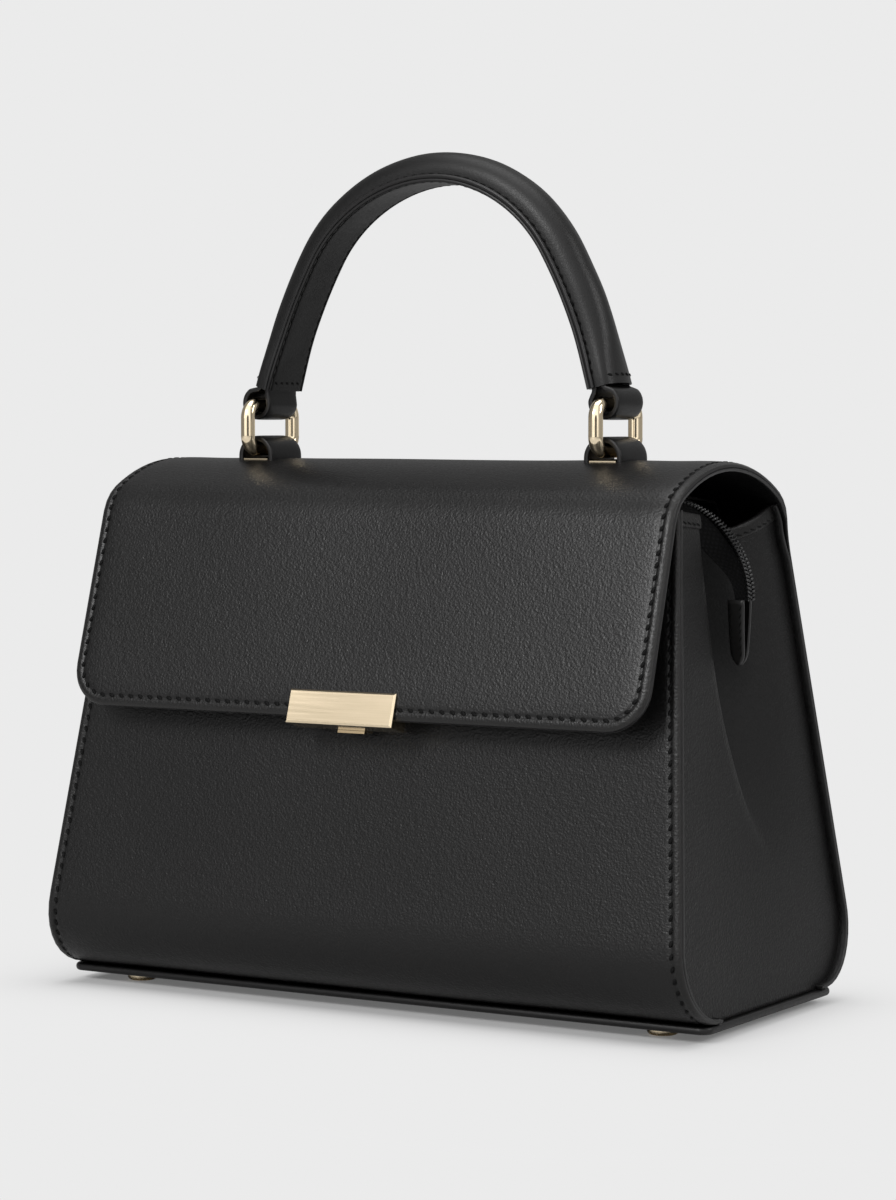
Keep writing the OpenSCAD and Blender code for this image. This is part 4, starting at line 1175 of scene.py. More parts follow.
        # Three stretches of columns: front wall, fold, and rear wall with its band
        q = np.concatenate([np.linspace(0, 1, 13)[:-1], np.linspace(1, 2, 17)[:-1], np.linspace(2, 3, 25)])
        y = np.where(q <= 1, mix(-edge, c, np.clip(q, 0, 1)),
                     np.where(q <= 2, mix(c, c + f.fold_run, np.clip(q - 1, 0, 1)),
                              mix(c + f.fold_run, edge, np.clip(q - 2, 0, 1))))
        shape = smooth((y - f.crease_y(z)) / f.fold_run) * smooth(
            (edge - f.rear_band - y) / (edge - f.rear_band - f.crease_y(z) - f.fold_run))
        depth = f.pleat_d * smooth(f.pleat_rise * f.pleat_share(z)) * shape
        x = f.half_w(z) - f.gusset_inset - depth
        # The mouth falls from both panels' edges towards the fold
        fall = np.where(y > f.crease_y(z) + f.fold_run, np.clip((edge - y) / f.mouth_fall_run, 0, 1),
                        f.front_fall * np.clip((y + edge) / (c + edge), 0, 1))
        zz = z - f.mouth_dip * np.maximum(depth / f.pleat_d, fall) * v[:, None] ** f.fall_power
        yy = np.where(y > 0, y * (edge - cut) / edge, y)
        grid = joined(x, yy, zz)
        if ends:
            first, last = grid[:, :1].copy(), grid[:, -1:].copy()
            first[..., 0] = last[..., 0] = f.half_w(z) - self.allowance_in
            first[..., 2] = last[..., 2] = z
            mid1, mid2 = (first + grid[:, :1] * 2) / 3, (last + grid[:, -1:] * 2) / 3
            grid = np.concatenate([first, mid1, grid, mid2, last], 1)
        out = unit(np.cross(np.gradient(grid, axis=1), np.gradient(grid, axis=0)))
        return grid + out * off, grid[..., (2, 1)]

    def gussets(self) -> None:
        """Pleated ends of the bag, each one sheet with its seam allowances turned out."""
        # Rows, as shares of the height: the foot, the bag's rolled edge, the wall and the mouth's edge
        foot, roll_top, wall_top, edge_low = -0.0102, 0.13, 0.96, 0.965
        roll = (1 - np.cos(np.linspace(0, math.pi / 2, 15))) * roll_top
        wall, edge = np.linspace(roll_top, wall_top, 54), np.linspace(edge_low, 1.0, 6)
        v = np.concatenate([[foot], roll[:-1], wall, edge])
        for side, name in SIDES:
            face, places = self.gusset_grid(v, 0.0, True)
            back, _ = self.gusset_grid(v, -self.form.gusset_t, True)
            y, z = face[..., 1], face[..., 2]
            inside = np.clip((face[..., 0] - 60) / 60, 0, 1) * bump_at(z, 110, 60)
            face[..., 0] += 0.25 * ripples(y, z, 48.0, 21) * inside * smooth((50 - np.abs(y)) / 14)
            # Lighter along the crease, partly rubbed and partly a painted highlight on the fold's edge; painted
            # shade where the fold is deep
            past_crease = y - self.form.crease_y(z)
            wear_and_painted_light = Hump(0.35, 0, 1.6).at(0.0, past_crease) * smooth((z - 60) / 40)
            sunk = self.form.half_w(z) - self.form.gusset_inset - face[..., 0]
            deep, high = smooth((sunk - 3) / 7), smooth((z - 112) / 40)
            wear_and_painted_light -= smooth(past_crease / 4) * deep * mix(0.25, 1.0, high)
            # Painted shade: a soft darker patch low in the gusset's middle
            wear_and_painted_light -= Hump(0.3, 75, 60, 8, 40).at(y, z)
            flip = (side, 1, 1)
            draft = Draft()
            draft.sheet(face * flip, back * flip, places, wear_and_painted_light, inside=1)
            made = draft.build(f"gusset_{name}_leather", self.shop, [GUSSET_CALF, EDGE], sharp=70)
            own(made, "bag", (f"gusset_{name}",))
            self.gusset_band(side, name)

    def gusset_band(self, side: float, name: str) -> None:
        """Sewn band that binds the gusset's top edge."""
        f = self.form
        low = 1 - self.band_h / (f.mouth_z - 1 - f.base_z - f.leather_t - f.seam_clear)
        v = np.linspace(low, 1.0, 7)
        face, places = self.gusset_grid(v, self.band_t, False)
        back, _ = self.gusset_grid(v, self.band_in, False)
        face[..., 0] += 0.3 * np.clip(1 - np.linspace(-1, 1, 7) ** 4, 0, 1)[:, None] - 0.3
        flip = (side, 1, 1)
        draft = Draft()
        draft.sheet(face * flip, back * flip, places, 0.25, inside=1, bulge=0.15)
        path, _ = self.gusset_grid(mix(low, 1, np.array([0.25, 0.27])), self.band_t + 0.03, False)
        up = unit(np.cross(np.gradient(path[0], axis=0), path[1] - path[0]))
        BAND_SEAM.sew(draft, path[0] * flip, up * flip, 2)
        made = draft.build(f"gusset_band_{name}_leather", self.shop, [GUSSET_CALF, EDGE, THREAD], sharp=60)
        own(made, "bag", (f"gusset_band_{name}",))

    def base(self) -> None:
        """Base: a covered board with rounded, painted edges and a raised middle inside the shell."""
        half_x = self.form.half_w(self.form.base_z) - self.base_side_in
        half_y = self.form.roll_y + self.base_past_roll
        low, high, soft = self.foot_h, self.form.base_z, self.base_edge_r

        def loop(inset: float, z: float) -> Array:
            """Rounded rectangle, inset from the outline, at height z."""
            out = []
            for qx, qy, a0 in ((1, 1, 0), (-1, 1, 90), (-1, -1, 180), (1, -1, 270)):
                a = np.radians(np.linspace(a0, a0 + 90, 9))
                r = max(self.base_corner_r - inset, 0.6)
                out.append(joined(qx * (half_x - inset - r) + r * np.cos(a),
                                  qy * (half_y - inset - r) + r * np.sin(a), z))
            ring = np.concatenate(out)
            return np.concatenate([ring, ring[:1]])

        # Inset and height of each ring, from the underside round the edge to the raised middle
        levels = [(20.0, low), (6.0, low), (3.0, low + 0.02), (soft, low + 0.1)]
        levels += [(soft * (1 - math.sin(a)), (low + high) / 2 - (high - low) / 2 * math.cos(a))
                   for a in np.linspace(0.35, math.pi - 0.35, 7)]
        levels += [(soft, high - 0.05), (4.0, high), (11.1, high), (11.3, high + self.form.leather_t)]
        rings = np.stack([loop(i, z) for i, z in levels])
        draft = Draft()
        marks = draft.add(rings, rings[..., :2], np.where(np.arange(len(levels)) < 4, 0.2, 0.1)[:, None])
        draft.skin(marks[:4], 0)
        draft.skin(marks[3:12], 1)
        draft.skin(marks[11:], 0)
        draft.cap(marks[0, :-1][::-1], 0)
        draft.cap(marks[-1, :-1], 0)
        own(draft.build("base_leather", self.shop, [PANEL_CALF, EDGE], sharp=60), "bag", ("base_panel",))
        # Seam round the underside, which holds the cover to its board
        thread = Draft()
        path = loop(self.base_seam_in, low - 0.02)
        self.seam.sew(thread, path, np.broadcast_to([0.0, 0.0, -1.0], path.shape))
        own(thread.build("base_stitches", self.shop, [THREAD], weld=False), "bag")

    def lining(self) -> None:
        """Loose cloth tub inside the shell, slack between its seams."""
        f, low, top, clear = self.form, self.lining_low, self.form.mouth_z - self.lining_drop, self.lining_clear
        zs = np.concatenate([low + (1 - np.cos(np.linspace(0, math.pi / 2, 8))) * 18, np.linspace(34, top, 26)])
        t = np.linspace(-1, 1, 40)[:-1]
        rings = []
        for z in zs:
            y = float(f.panel_y(z, f.leather_t + clear))
            pleat = f.pleat_d * float(smooth(f.pleat_rise * f.pleat_share(z)))
            x = float(f.half_w(z)) - f.gusset_inset - f.gusset_t - clear - pleat
            rings.append(np.concatenate([joined(x, t * y, z), joined(-t * x, y, z), joined(-x, -t * y, z),
                                         joined(t * x, -y, z)]))
        grid = np.stack(rings)
        inward = unit(grid * (-1, -1, 0))
        slack = 0.5 + 0.5 * ripples(grid[..., 0] + grid[..., 1] * 1.3, grid[..., 2] * 0.5, 60.0, 31)
        fade = smooth((grid[..., 2] - low) / 25) * smooth((top - grid[..., 2]) / 18)
        face = grid + inward * (slack * fade * self.lining_slack + self.lining_t)[..., None]
        grid, face = (np.concatenate([g, g[:, :1]], 1) for g in (grid, face))
        draft = Draft()
        run = joined(np.arange(grid.shape[1]) * 3.0, grid[..., 2])
        out_no, in_no = draft.add(grid, run), draft.add(face, run)
        draft.skin(out_no, 0, flip=True)
        draft.skin(in_no, 0)
        draft.skin(np.stack([out_no[-1], in_no[-1]]), 0)
        for no in (out_no[0, :-1], in_no[0, :-1]):
            draft.cap(no, 0)
        own(draft.build("lining_cloth_tub", self.shop, [LINING]), "bag", ("lining",))

    def build(self) -> None:
        """Builds the whole shell."""
        self.front_panel()
        self.back_and_flap()
        self.gussets()
        self.base()
        self.lining()
        log.info("shell built")


@dataclass
class Handle:
    """Rolled top handle: a stuffed roll on a flat strip, sewn along both sides, with its two loops."""
    shop: Workshop
    radius: float = 58.0
    leg_radius: float = 220.0
    under_z: float = 318.0
    crest_turn: float = 60.0
    leg_turn: float = 14.6
    thickness: float = 12.2
    width: float = 22.0
    strip: float = 1.6
    roll_half: float = 8.8
    carry_y: float = -5.0
    ring_x: float = 79.3
    top_bar_z: float = 231.8
    low_bar_z: float = 211.5
    crest_z: float = 210.8
    strap: float = 2.2
    loop_w: float = 21.0
    loop_half: float = 8.2
    grip_w: float = 19.6
    grip_bow: float = 5.65
    end_run: float = 34.0
    end_thick: float = 10.2
    end_half: float = 12.3
    seam_in: float = 1.35
    seam_turn: float = 1.1
    across_turn: float = 0.85
    flare_run: float = 26.0
    cover_t: float = 1.6
    turned_edge: float = 1.5
    glue_t: float = 0.05
    end_bulge: float = 0.45
    roll_bulge: float = 0.86
    crease_depth: float = 0.16
    sway: float = 2.1
    sway_back: float = 0.7

    def place(self, s: Array, y: Array, turn: Array) -> Array:
        """Points s outside the underside's face and y across, at signed turns in degrees."""
        s, y, turn = np.broadcast_arrays(np.asarray(s, float), y, turn)
        # Hand-shaped: the crown and the right leg lie up to 2 mm further right
        sway = self.sway * smooth((turn + 66) / 60) - self.sway_back * smooth((turn - 62) / 12.6)
        a, crest = np.radians(turn), math.radians(self.crest_turn)
        shift = self.radius - self.leg_radius
        leg = np.abs(turn) > self.crest_turn
        r = np.where(leg, self.leg_radius, self.radius) + s
        x = np.where(leg, np.sign(turn) * shift * math.sin(crest), 0.0) + r * np.sin(a)
        z = self.under_z - self.radius + np.where(leg, shift * math.cos(crest), 0.0) + r * np.cos(a)
        return np.stack([x + sway, self.carry_y + y, z], -1)

    def outward(self, turn: Array) -> Array:
        """Unit directions out of the handle's bow at signed turns in degrees."""
        return joined(np.sin(np.radians(turn)), 0.0, np.cos(np.radians(turn)))

    def turns(self, short: float = 0.0) -> Array:
        """Signed turns of the stations from the right leg's end to the left one's."""
        leg = np.linspace(self.crest_turn + self.leg_turn - short, self.crest_turn, 30)[:-1]
        crest = np.linspace(self.crest_turn, -self.crest_turn, 76)
        return np.concatenate([leg, crest, -leg[::-1]])

    def from_end(self, turn: Array) -> Array:
        """Length from a station to the nearer leg's end."""
        past = np.maximum(np.abs(turn) - self.crest_turn, 0)
        leg = np.radians(self.leg_turn - past) * self.leg_radius
        return leg + np.radians(self.crest_turn - np.minimum(np.abs(turn), self.crest_turn)) * self.radius

    def run(self, turn: Array) -> Array:
        """Length along the handle from its top, signed."""
        total = math.radians(self.leg_turn) * self.leg_radius + math.radians(self.crest_turn) * self.radius
        return np.sign(turn) * (total - self.from_end(turn))

    def half_width(self, turn: Array) -> Array:
        """Half the width across the sewn edges, which flare towards the legs' ends."""
        return mix(self.end_half, self.width / 2, smooth(self.from_end(turn) / self.flare_run))

    def swept(self, draft: Draft, turn: Array, s: Array, y: Array, marks: list[int], wear_and_painted_light: Array | float = 0.0
              ) -> None:
        """Sweeps a closed section along the handle.

        Args:
            draft: Draft that gets the piece.
            turn: Stations.
            s: Section's places outwards, a row for each station.
            y: Section's places across, a row for each station.
            marks: Finish of each stretch of the section.
            wear_and_painted_light: Rubbing and painted sheen at each point of the section.
        """
        steps = np.abs(np.diff(y, axis=1, prepend=y[:, :1])) + np.abs(np.diff(s, axis=1, prepend=s[:, :1]))
        along = joined(self.run(turn)[:, None], np.cumsum(steps, 1))
        no = draft.add(self.place(s, y, turn[:, None]), along, wear_and_painted_light)
        wrap = np.concatenate([no, no[:, :1]], 1)
        for k, mark in enumerate(marks):
            draft.skin(wrap[:, k:k + 2], mark)
        draft.cap(no[0], 1)
        draft.cap(no[-1][::-1], 1)

    def cover(self) -> None:
        """Cover of the roll, flattened at the legs' ends where it is sewn down across."""
        turn = self.turns()
        near = smooth(self.from_end(turn) / self.end_run)[:, None]
        top = mix(self.end_thick, self.thickness, near)
        half = self.half_width(turn)[:, None]
        roll = mix(half - self.turned_edge, self.roll_half, near)
        a = np.linspace(0, math.pi, 26)[None, :]
        level, low = 2 * self.strip, self.strip + self.glue_t
        crease = ripples(self.run(turn)[:, None], a * 8, 13.0, 3) * bump_at(a, math.pi / 2, 0.8)
        roll_s = level + (top - level) * np.sin(a) ** mix(self.end_bulge, self.roll_bulge, near)
        roll_s = roll_s + self.crease_depth * crease * near
        # Half a section: the painted edges, then the roll over the top, then the cover's inside
        edge_s = [low, low + 0.4, level - 0.35, level, level - 0.12]
        edge_y = [half - 0.3, half, half, half - 0.35, roll + 0.5]
        wrap = roll - self.cover_t
        inner_s = [low, level + 1.5, top - 1.5, level + 1.5, low]
        inner_y = [-wrap, -wrap * 0.9, 0.0, wrap * 0.9, wrap]
        one = np.ones_like(near)
        s, y = (np.concatenate([v * one for v in row], 1) for row in (
            [*edge_s, roll_s, *edge_s[::-1], *inner_s],
            [*edge_y, roll * np.cos(a), *(-v for v in edge_y[::-1]), *inner_y]))
        count = s.shape[1]
        painted = {0, 1, 2} | {count - k for k in (7, 8, 9, 10)}
        marks = [int(k in painted) for k in range(count)]
        middle = len(edge_s) + a.shape[1] // 2
        # Painted sheen: a lighter, glossier band along the crown of the roll
        wear_and_painted_light = np.zeros((1, count))
        wear_and_painted_light[0, middle - 4:middle + 5] = 0.25
        draft = Draft()
        self.swept(draft, turn, s, y, marks, np.broadcast_to(wear_and_painted_light, s.shape))
        made = draft.build("handle_cover_leather", self.shop, [HANDLE_CALF, EDGE], sharp=52)
        own(made, "handle", ("handle_cover",))

    def underside(self) -> None:
        """Flat strip under the roll, its seams sunk on both sides."""
        turn = self.turns()
        half = self.half_width(turn)[:, None]
        edge, middle = np.linspace(-1, -0.8, 12), np.linspace(-0.78, 0.78, 18)
        y0 = np.concatenate([edge, middle, -edge[::-1]])[None, :]
        e = (1 - np.abs(y0)) * self.width / 2
        groove_depth, groove_in, groove_w, rounding, rounded_run = 0.28, 1.55, 0.45, 0.35, 0.7
        groove = groove_depth * bump_at(e, groove_in, groove_w)
        groove += rounding * np.clip(1 - e / rounded_run, 0, 1) ** 2
        soft = 0.1 * ripples(self.run(turn)[:, None], y0 * 8, 17.0, 9) * smooth((e - 2.5) / 4)
        back_y, back_s = np.array([[1, 0.96, -0.96, -1]]), self.strip - np.array([[0.5, 0, 0, 0.5]])
        y = np.concatenate([y0 * half, back_y * half], 1)
        s = np.concatenate([groove + soft, np.broadcast_to(back_s, (len(turn), 4))], 1)
        # The stretches at both rims are painted, and so are the sides between face and back
        n = y0.shape[1]
        marks = [int(k in (0, n - 2, n - 1, n, n + 2, n + 3)) for k in range(s.shape[1])]
        draft = Draft()
        self.swept(draft, turn, s, y, marks)
        made = draft.build("handle_underside_leather", self.shop, [STRIP_CALF, EDGE], sharp=52)
        own(made, "handle", ("handle_underside",))

    def core(self) -> None:
        """Filling of the roll: a cotton rope of three strands that lies inside the cover."""
        turn = self.turns(3.6)
        draft = Draft()
        run = self.run(turn)[:, None]
        ring = np.linspace(0, 2 * math.pi, 11)[None, :-1]
        for k in range(3):
            a = run / 9.0 + 2 * math.pi * k / 3
            s = 5.5 + 1.7 * np.cos(a) + 1.9 * np.cos(ring)
            y = 3.2 * np.sin(a) + 2.6 * np.sin(ring)
            self.swept(draft, turn, s, y, [0] * 10)
        made = draft.build("handle_core_rope", self.shop, [
            PressedFibre("cotton_rope_filling", "#6d6353", "#94876f"),
            PressedFibre("cotton_rope_cut", "#7a6f5d", "#998d77")])
        own(made, "handle", ("handle_core",))

    def seams(self) -> None:
        """Stitches along both edges, seen from outside and from below, and across the legs' ends."""
        draft = Draft()
        total = self.crest_turn + self.leg_turn
        turn = np.linspace(total - self.seam_turn, -total + self.seam_turn, 320)
        out, half = self.outward(turn), self.half_width(turn)
        for side in (-1.0, 1.0):
            above = self.place(2 * self.strip + 0.02, side * (half - self.seam_in), turn)
            below = self.place(0.22, side * (half - self.seam_in - 0.2), turn)
            HANDLE_SEAM.sew(draft, above, out, flip=side)
            HANDLE_SEAM.sew(draft, below, -out, flip=side)
        across = np.linspace(-9.6, 9.6, 24)
        # The cover's end section, whose sine is taken to the power of end_bulge
        bow = np.maximum(1 - (across / (self.end_half - self.turned_edge)) ** 2, 0) ** (self.end_bulge / 2)
        rise = mix(2 * self.strip, self.end_thick + 0.05, bow)
        for side in (-1.0, 1.0):
            t = np.full(len(across), side * (total - self.across_turn))
            flat = self.outward(t)
            HANDLE_SEAM.sew(draft, self.place(rise, across, t), flat)
            HANDLE_SEAM.sew(draft, self.place(-0.02, across, t), -flat)
        own(draft.build("handle_stitches", self.shop, [THREAD], weld=False), "handle")

    def strap_piece(self, name: str, path: Array, width: float, body: str) -> None:
        """A strap along a path in width and height, with painted edges.

        Args:
            name: Name of the CAD node that the strap stands for.
            path: Middle line, X and Z.
            width: Width across, in depth.
            body: Body that it rides on.
        """
        t = unit(np.gradient(path, axis=0))
        n = np.stack([-t[:, 1], t[:, 0]], -1)
        across = np.array([-1, -0.93, -0.8, -0.5, 0, 0.5, 0.8, 0.93, 1])[None, :]
        crown = self.strap / 2 - 0.22 * np.abs(across) ** 8
        face, back = (path[:, None, :] + way * n[:, None, :] * crown[..., None] for way in (1.0, -1.0))
        face, back = (joined(p[..., 0], self.carry_y + across * width / 2, p[..., 1]) for p in (face, back))
        wear_and_painted_light = 0.5 * np.broadcast_to(np.abs(across) ** 10, face.shape[:2])
        draft = Draft()
        draft.sheet(face, back, joined(run_of(path)[:, None], across * width / 2), wear_and_painted_light, wear_and_painted_light)
        own(draft.build(f"{name}_strap", self.shop, [LOOP_CALF, EDGE], sharp=60), body, (name,))

    def low_loop(self, side: float) -> Array:
        """Path of a lower loop: up from under the flap's face, round the ring's lower bar and down."""
        r, top, foot = self.loop_half - self.strap / 2, self.low_bar_z, self.crest_z - 3.6
        a = np.linspace(0, math.pi, 30)
        leg = np.linspace(foot, top, 5)[:-1]
        path = np.concatenate([
            joined(r, leg), joined(r * np.cos(a), top + r * np.sin(a)), joined(-r, leg[::-1])])
        return path + (side * self.ring_x, 0)

    def high_loop(self, side: float) -> Array:
        """Path of an upper loop: out of the leg's end, round the ring's upper bar and back in."""
        middle = np.array([side * self.ring_x, self.top_bar_z + 0.9])
        turn = side * (self.crest_turn + self.leg_turn)
        level = self.strip + 0.1 + self.strap
        neck, tip = (self.place(level, 0.0, at)[..., (0, 2)] for at in (turn, turn - side * 2.6))
        way = unit(tip - neck)
        beside = self.strap / 2 * np.array([-way[1], way[0]])
        aim = math.atan2(*(neck - middle)[::-1])
        a = aim + np.radians(np.linspace(62, 298, 34))
        line = np.concatenate([[tip + beside, neck + beside * 1.05 - way * 0.2],
                               middle + self.grip_bow * np.stack([np.cos(a), np.sin(a)], -1),
                               [neck - beside * 1.05 - way * 0.2, tip - beside]])
        # Corners cut twice, which rounds the necks
        for _ in range(2):
            cut = np.stack([mix(line[:-1], line[1:], 0.25), mix(line[:-1], line[1:], 0.75)], 1).reshape(-1, 2)
            line = np.concatenate([line[:1], cut, line[-1:]])
        return line

    def loops(self) -> None:
        """Lower loops on the flap and upper loops at the legs' ends."""
        for side, name in SIDES:
            self.strap_piece(f"ring_loop_{name}", self.low_loop(side), self.loop_w, "flap")
            self.strap_piece(f"handle_loop_{name}", self.high_loop(side), self.grip_w, "handle")

    def build(self) -> None:
        """Builds the handle and the loops."""
        self.cover()
        self.underside()
        self.core()
        self.seams()
        self.loops()
        log.info("handle built")


@dataclass
class Zip:
    """Nylon coil zip that closes the mouth, its right end hanging out over the gusset."""
    shop: Workshop
    body: Body
    y: float = -5.0
    z: float = 196.0
    start: float = -104.0
    droop_x: float = 100.0
    run: float = 36.6
    fall: float = 37.0
    tape_t: float = 0.7
    tape_w: float = 9.5
    coil_half: float = 2.3
    coil_gap: float = 1.1
    coil_h: float = 2.4
    wire: float = 0.44
    pitch: float = 1.5
    facing_t: float = 1.35
    facing_end_gap: float = 3.0
    facing_over: float = 1.5
    facing_seam_in: float = 2.6
    band_clear: float = 0.12
    tab_length: float = 24.0
    leaf_t: float = 1.6

    def path(self, count: int) -> tuple[Array, Array, Array]:
        """Middle line of the zip at even lengths.

        Args:
            count: Number of points.

        Returns:
            Points in X and Z, unit directions, and the turn of the hanging part in degrees.
        """
        a = np.radians(np.linspace(0, 90, 60))
        bend = np.stack([self.droop_x + self.run * np.sin(a), self.z - self.fall * (1 - np.cos(a))], -1)
        pts = np.concatenate([[[self.start, self.z]], bend])
        s = run_of(pts)
        even = np.linspace(0, s[-1], count)
        p = sampled(even, s, pts)
        return p, unit(np.gradient(p, axis=0)), np.interp(even, s, np.concatenate([[0], np.degrees(a)]))

    def facings(self) -> None:
        """Leather facings that carry the tapes along the mouth."""
        f, thick = self.body.form, self.facing_t
        half_x = float(f.half_w(f.mouth_z)) - f.gusset_inset - f.gusset_t - f.pleat_d - self.facing_end_gap
        # Heights at which a facing follows the wall that it's sewn to, up to the mouth
        zs = np.array([179.0, 182.2, 184.1, 190.4, 193.0, 194.0])
        over = self.z + self.tape_t / 2 + self.facing_over
        for side, name, band in ((1.0, "rear", self.body.rear_room(zs) - self.band_clear),
                                 (-1.0, "front", f.panel_y(zs, f.leather_t + self.band_clear))):
            tape = self.y * side + self.coil_half
            bend, rim = [band[-1] - 1.2, zs[-1] + 0.9], [tape + self.tape_w + 1.0, over]
            pts = np.concatenate([joined(band, zs), [bend, rim, [tape + self.tape_w / 2, over]]])
            line = Line(pts * (side, 1))
            end = line.length
            sheet = SewnLeather(line, lambda s: np.full(np.shape(s), half_x),
                                lambda s: np.full(np.shape(s), thick), -side)
            x = np.linspace(-half_x, half_x, 60)[None, :]
            s = np.concatenate([np.linspace(0, end - 6, 16), np.linspace(end - 5.4, end, 9)])[:, None]
            e = np.minimum(end - s, half_x - np.abs(x))
            relief = -0.2 * bump_at(e, self.facing_seam_in, 0.6) - 0.25 * np.clip(1 - e / 0.8, 0, 1) ** 2
            draft = Draft()
            draft.sheet(sheet.point(x, s, relief), sheet.point(x, s, -thick), joined(s, x))
            row, at = np.linspace(-half_x + 3, half_x - 3, 120), np.full(120, end - self.facing_seam_in)
            FACING_SEAM.sew(draft, sheet.point(row, at, -0.1), sheet.up(at), 2)
            made = draft.build(f"zip_facing_{name}_leather", self.shop, [LINING_CALF, EDGE, THREAD], sharp=60)
            own(made, "bag", (f"zip_facing_{name}",))

    def tapes(self) -> None:
        """Woven tapes, flat along the mouth and folded inwards where they hang down."""
        p, d, turn = self.path(110)
        up = np.stack([-d[:, 1], d[:, 0]], -1)
        fold = np.radians(62) * smooth(turn / 70)
        for side, name in ((-1.0, "front"), (1.0, "rear")):
            w = np.stack([-up[:, 0] * np.sin(fold), side * np.cos(fold), -up[:, 1] * np.sin(fold)], -1)
            n = np.stack([up[:, 0] * np.cos(fold), side * np.sin(fold), up[:, 1] * np.cos(fold)], -1)
            across = np.linspace(self.coil_half + 0.2, self.coil_half + self.tape_w, 11)
            base = joined(p[:, 0], self.y, p[:, 1])[:, None, :]
            # The tapes are gathered where they run into the end tab
            reach = mix(1.0, 0.5, smooth((turn - 44) / 44))[:, None]
            mid = base + w[:, None, :] * (across[None, :] * reach)[..., None]
            s = np.linspace(0, 260, len(p))[:, None]
            hang = smooth(turn / 60)[:, None]
            mid = mid + n[:, None, :] * (0.35 * hang * np.sin(s / 11 + across / 5))[..., None]
            face, back = (mid + n[:, None, :] * k * self.tape_t / 2 for k in (0.8, -0.8))
            draft = Draft()
            draft.sheet(face, back, joined(s, across[None, :]), edge=0, flip=side > 0, bulge=0.2, steps=2)
            made = draft.build(f"zip_tape_{name}_twill", self.shop, [TAPE])
            own(made, "bag", (f"zip_tape_{name}",))

    def coil(self) -> None:
        """Two wound rows of monofilament."""
        p, d, _ = self.path(900)
        s = run_of(p)
        count = int(s[-1] / self.pitch * 9)
        at = np.linspace(0, s[-1], count)
        mid, way = sampled(at, s, p), sampled(at, s, d)
        up = joined(-way[:, 1], 0.0, way[:, 0])
        row = self.coil_half - self.coil_gap / 2
        ring = np.linspace(0, 2 * math.pi, 6)
        draft = Draft()
        for side in (-1.0, 1.0):
            a = at / self.pitch * 2 * math.pi + (0.0 if side > 0 else math.pi)
            centre = joined(mid[:, 0], self.y + side * (self.coil_gap + row) / 2, mid[:, 1])
            line = (centre + up * (np.sin(a) * (self.coil_h / 2 - self.wire))[:, None]
                    + joined(0.0, np.cos(a) * (row / 2 + 0.2 - self.wire) * side, 0.0))
            t = unit(np.gradient(line, axis=0))
            out = line - centre
            out = unit(out - t * np.sum(out * t, 1, keepdims=True))[:, None, :]
            beside = np.cross(t, out[:, 0])[:, None, :]
            tube = line[:, None, :] + self.wire * (out * np.cos(ring)[:, None] + beside * np.sin(ring)[:, None])
            no = draft.add(tube, joined(at[:, None], ring[None, :]))
            draft.skin(no, 0)
            draft.cap(no[0, :-1][::-1], 0)
            draft.cap(no[-1, :-1], 0)
        own(draft.build("zip_coil_rows", self.shop, [COIL], weld=False), "bag", ("zip_chain",))

    def end_tab(self) -> None:
        """Two leather leaves that take the zip's end and meet at the bottom."""
        tip_x, tip_z = self.droop_x + self.run - 1.5, self.z - self.fall - 0.1

        def half_y(t: Array) -> Array:
            """Distance of a leaf's face from the zip's middle, at a share of its length."""
            return mix(3.9, 1.85, t) + 0.5 * np.sin(math.pi * t)

        t = np.linspace(0, 1, 15)[:, None]
        taper = np.clip((t - 0.8) / 0.2, 0, 1) ** 2
        right = np.where(t < 0.8, -0.6 * t, -0.5 - 1.6 * taper)
        left = np.where(t < 0.8, -6.2 + 0.8 * t, -5.5 + 2.0 * taper)
        u = np.array([0, 0.06, 0.15, 0.25, 0.5, 0.75, 0.85, 0.94, 1.0])[None, :]
        x, z = tip_x + mix(left, right, u), tip_z - self.tab_length * t
        rows = np.linspace(0.06, 0.9, 30)
        draft = Draft()
        for side in (-1.0, 1.0):
            y_out = half_y(t) - 0.2 * np.abs(2 * u - 1) ** 6
            y_in = np.maximum(y_out - self.leaf_t, 0.06)
            face, back = (joined(x, self.y + side * y, z) for y in (y_out, y_in))
            draft.sheet(face, back, joined(z, x), 0.3, flip=side < 0, bulge=0.2)
            for edge in (0.14, 0.86):
                px = np.interp(rows, t[:, 0], (tip_x + mix(left, right, edge))[:, 0])
                path = joined(px, self.y + side * half_y(rows), tip_z - self.tab_length * rows)
                TAB_SEAM.sew(draft, path, np.broadcast_to([0.0, side, 0.0], path.shape), 2)
        made = draft.build("zip_end_tab_leather", self.shop, [HANDLE_CALF, EDGE, THREAD], sharp=60)
        own(made, "bag", ("zip_end_tab",))

    def build(self) -> None:
        """Builds the zip's soft parts."""
        self.facings()
        self.tapes()
        self.coil()
        self.end_tab()
        log.info("zip built")


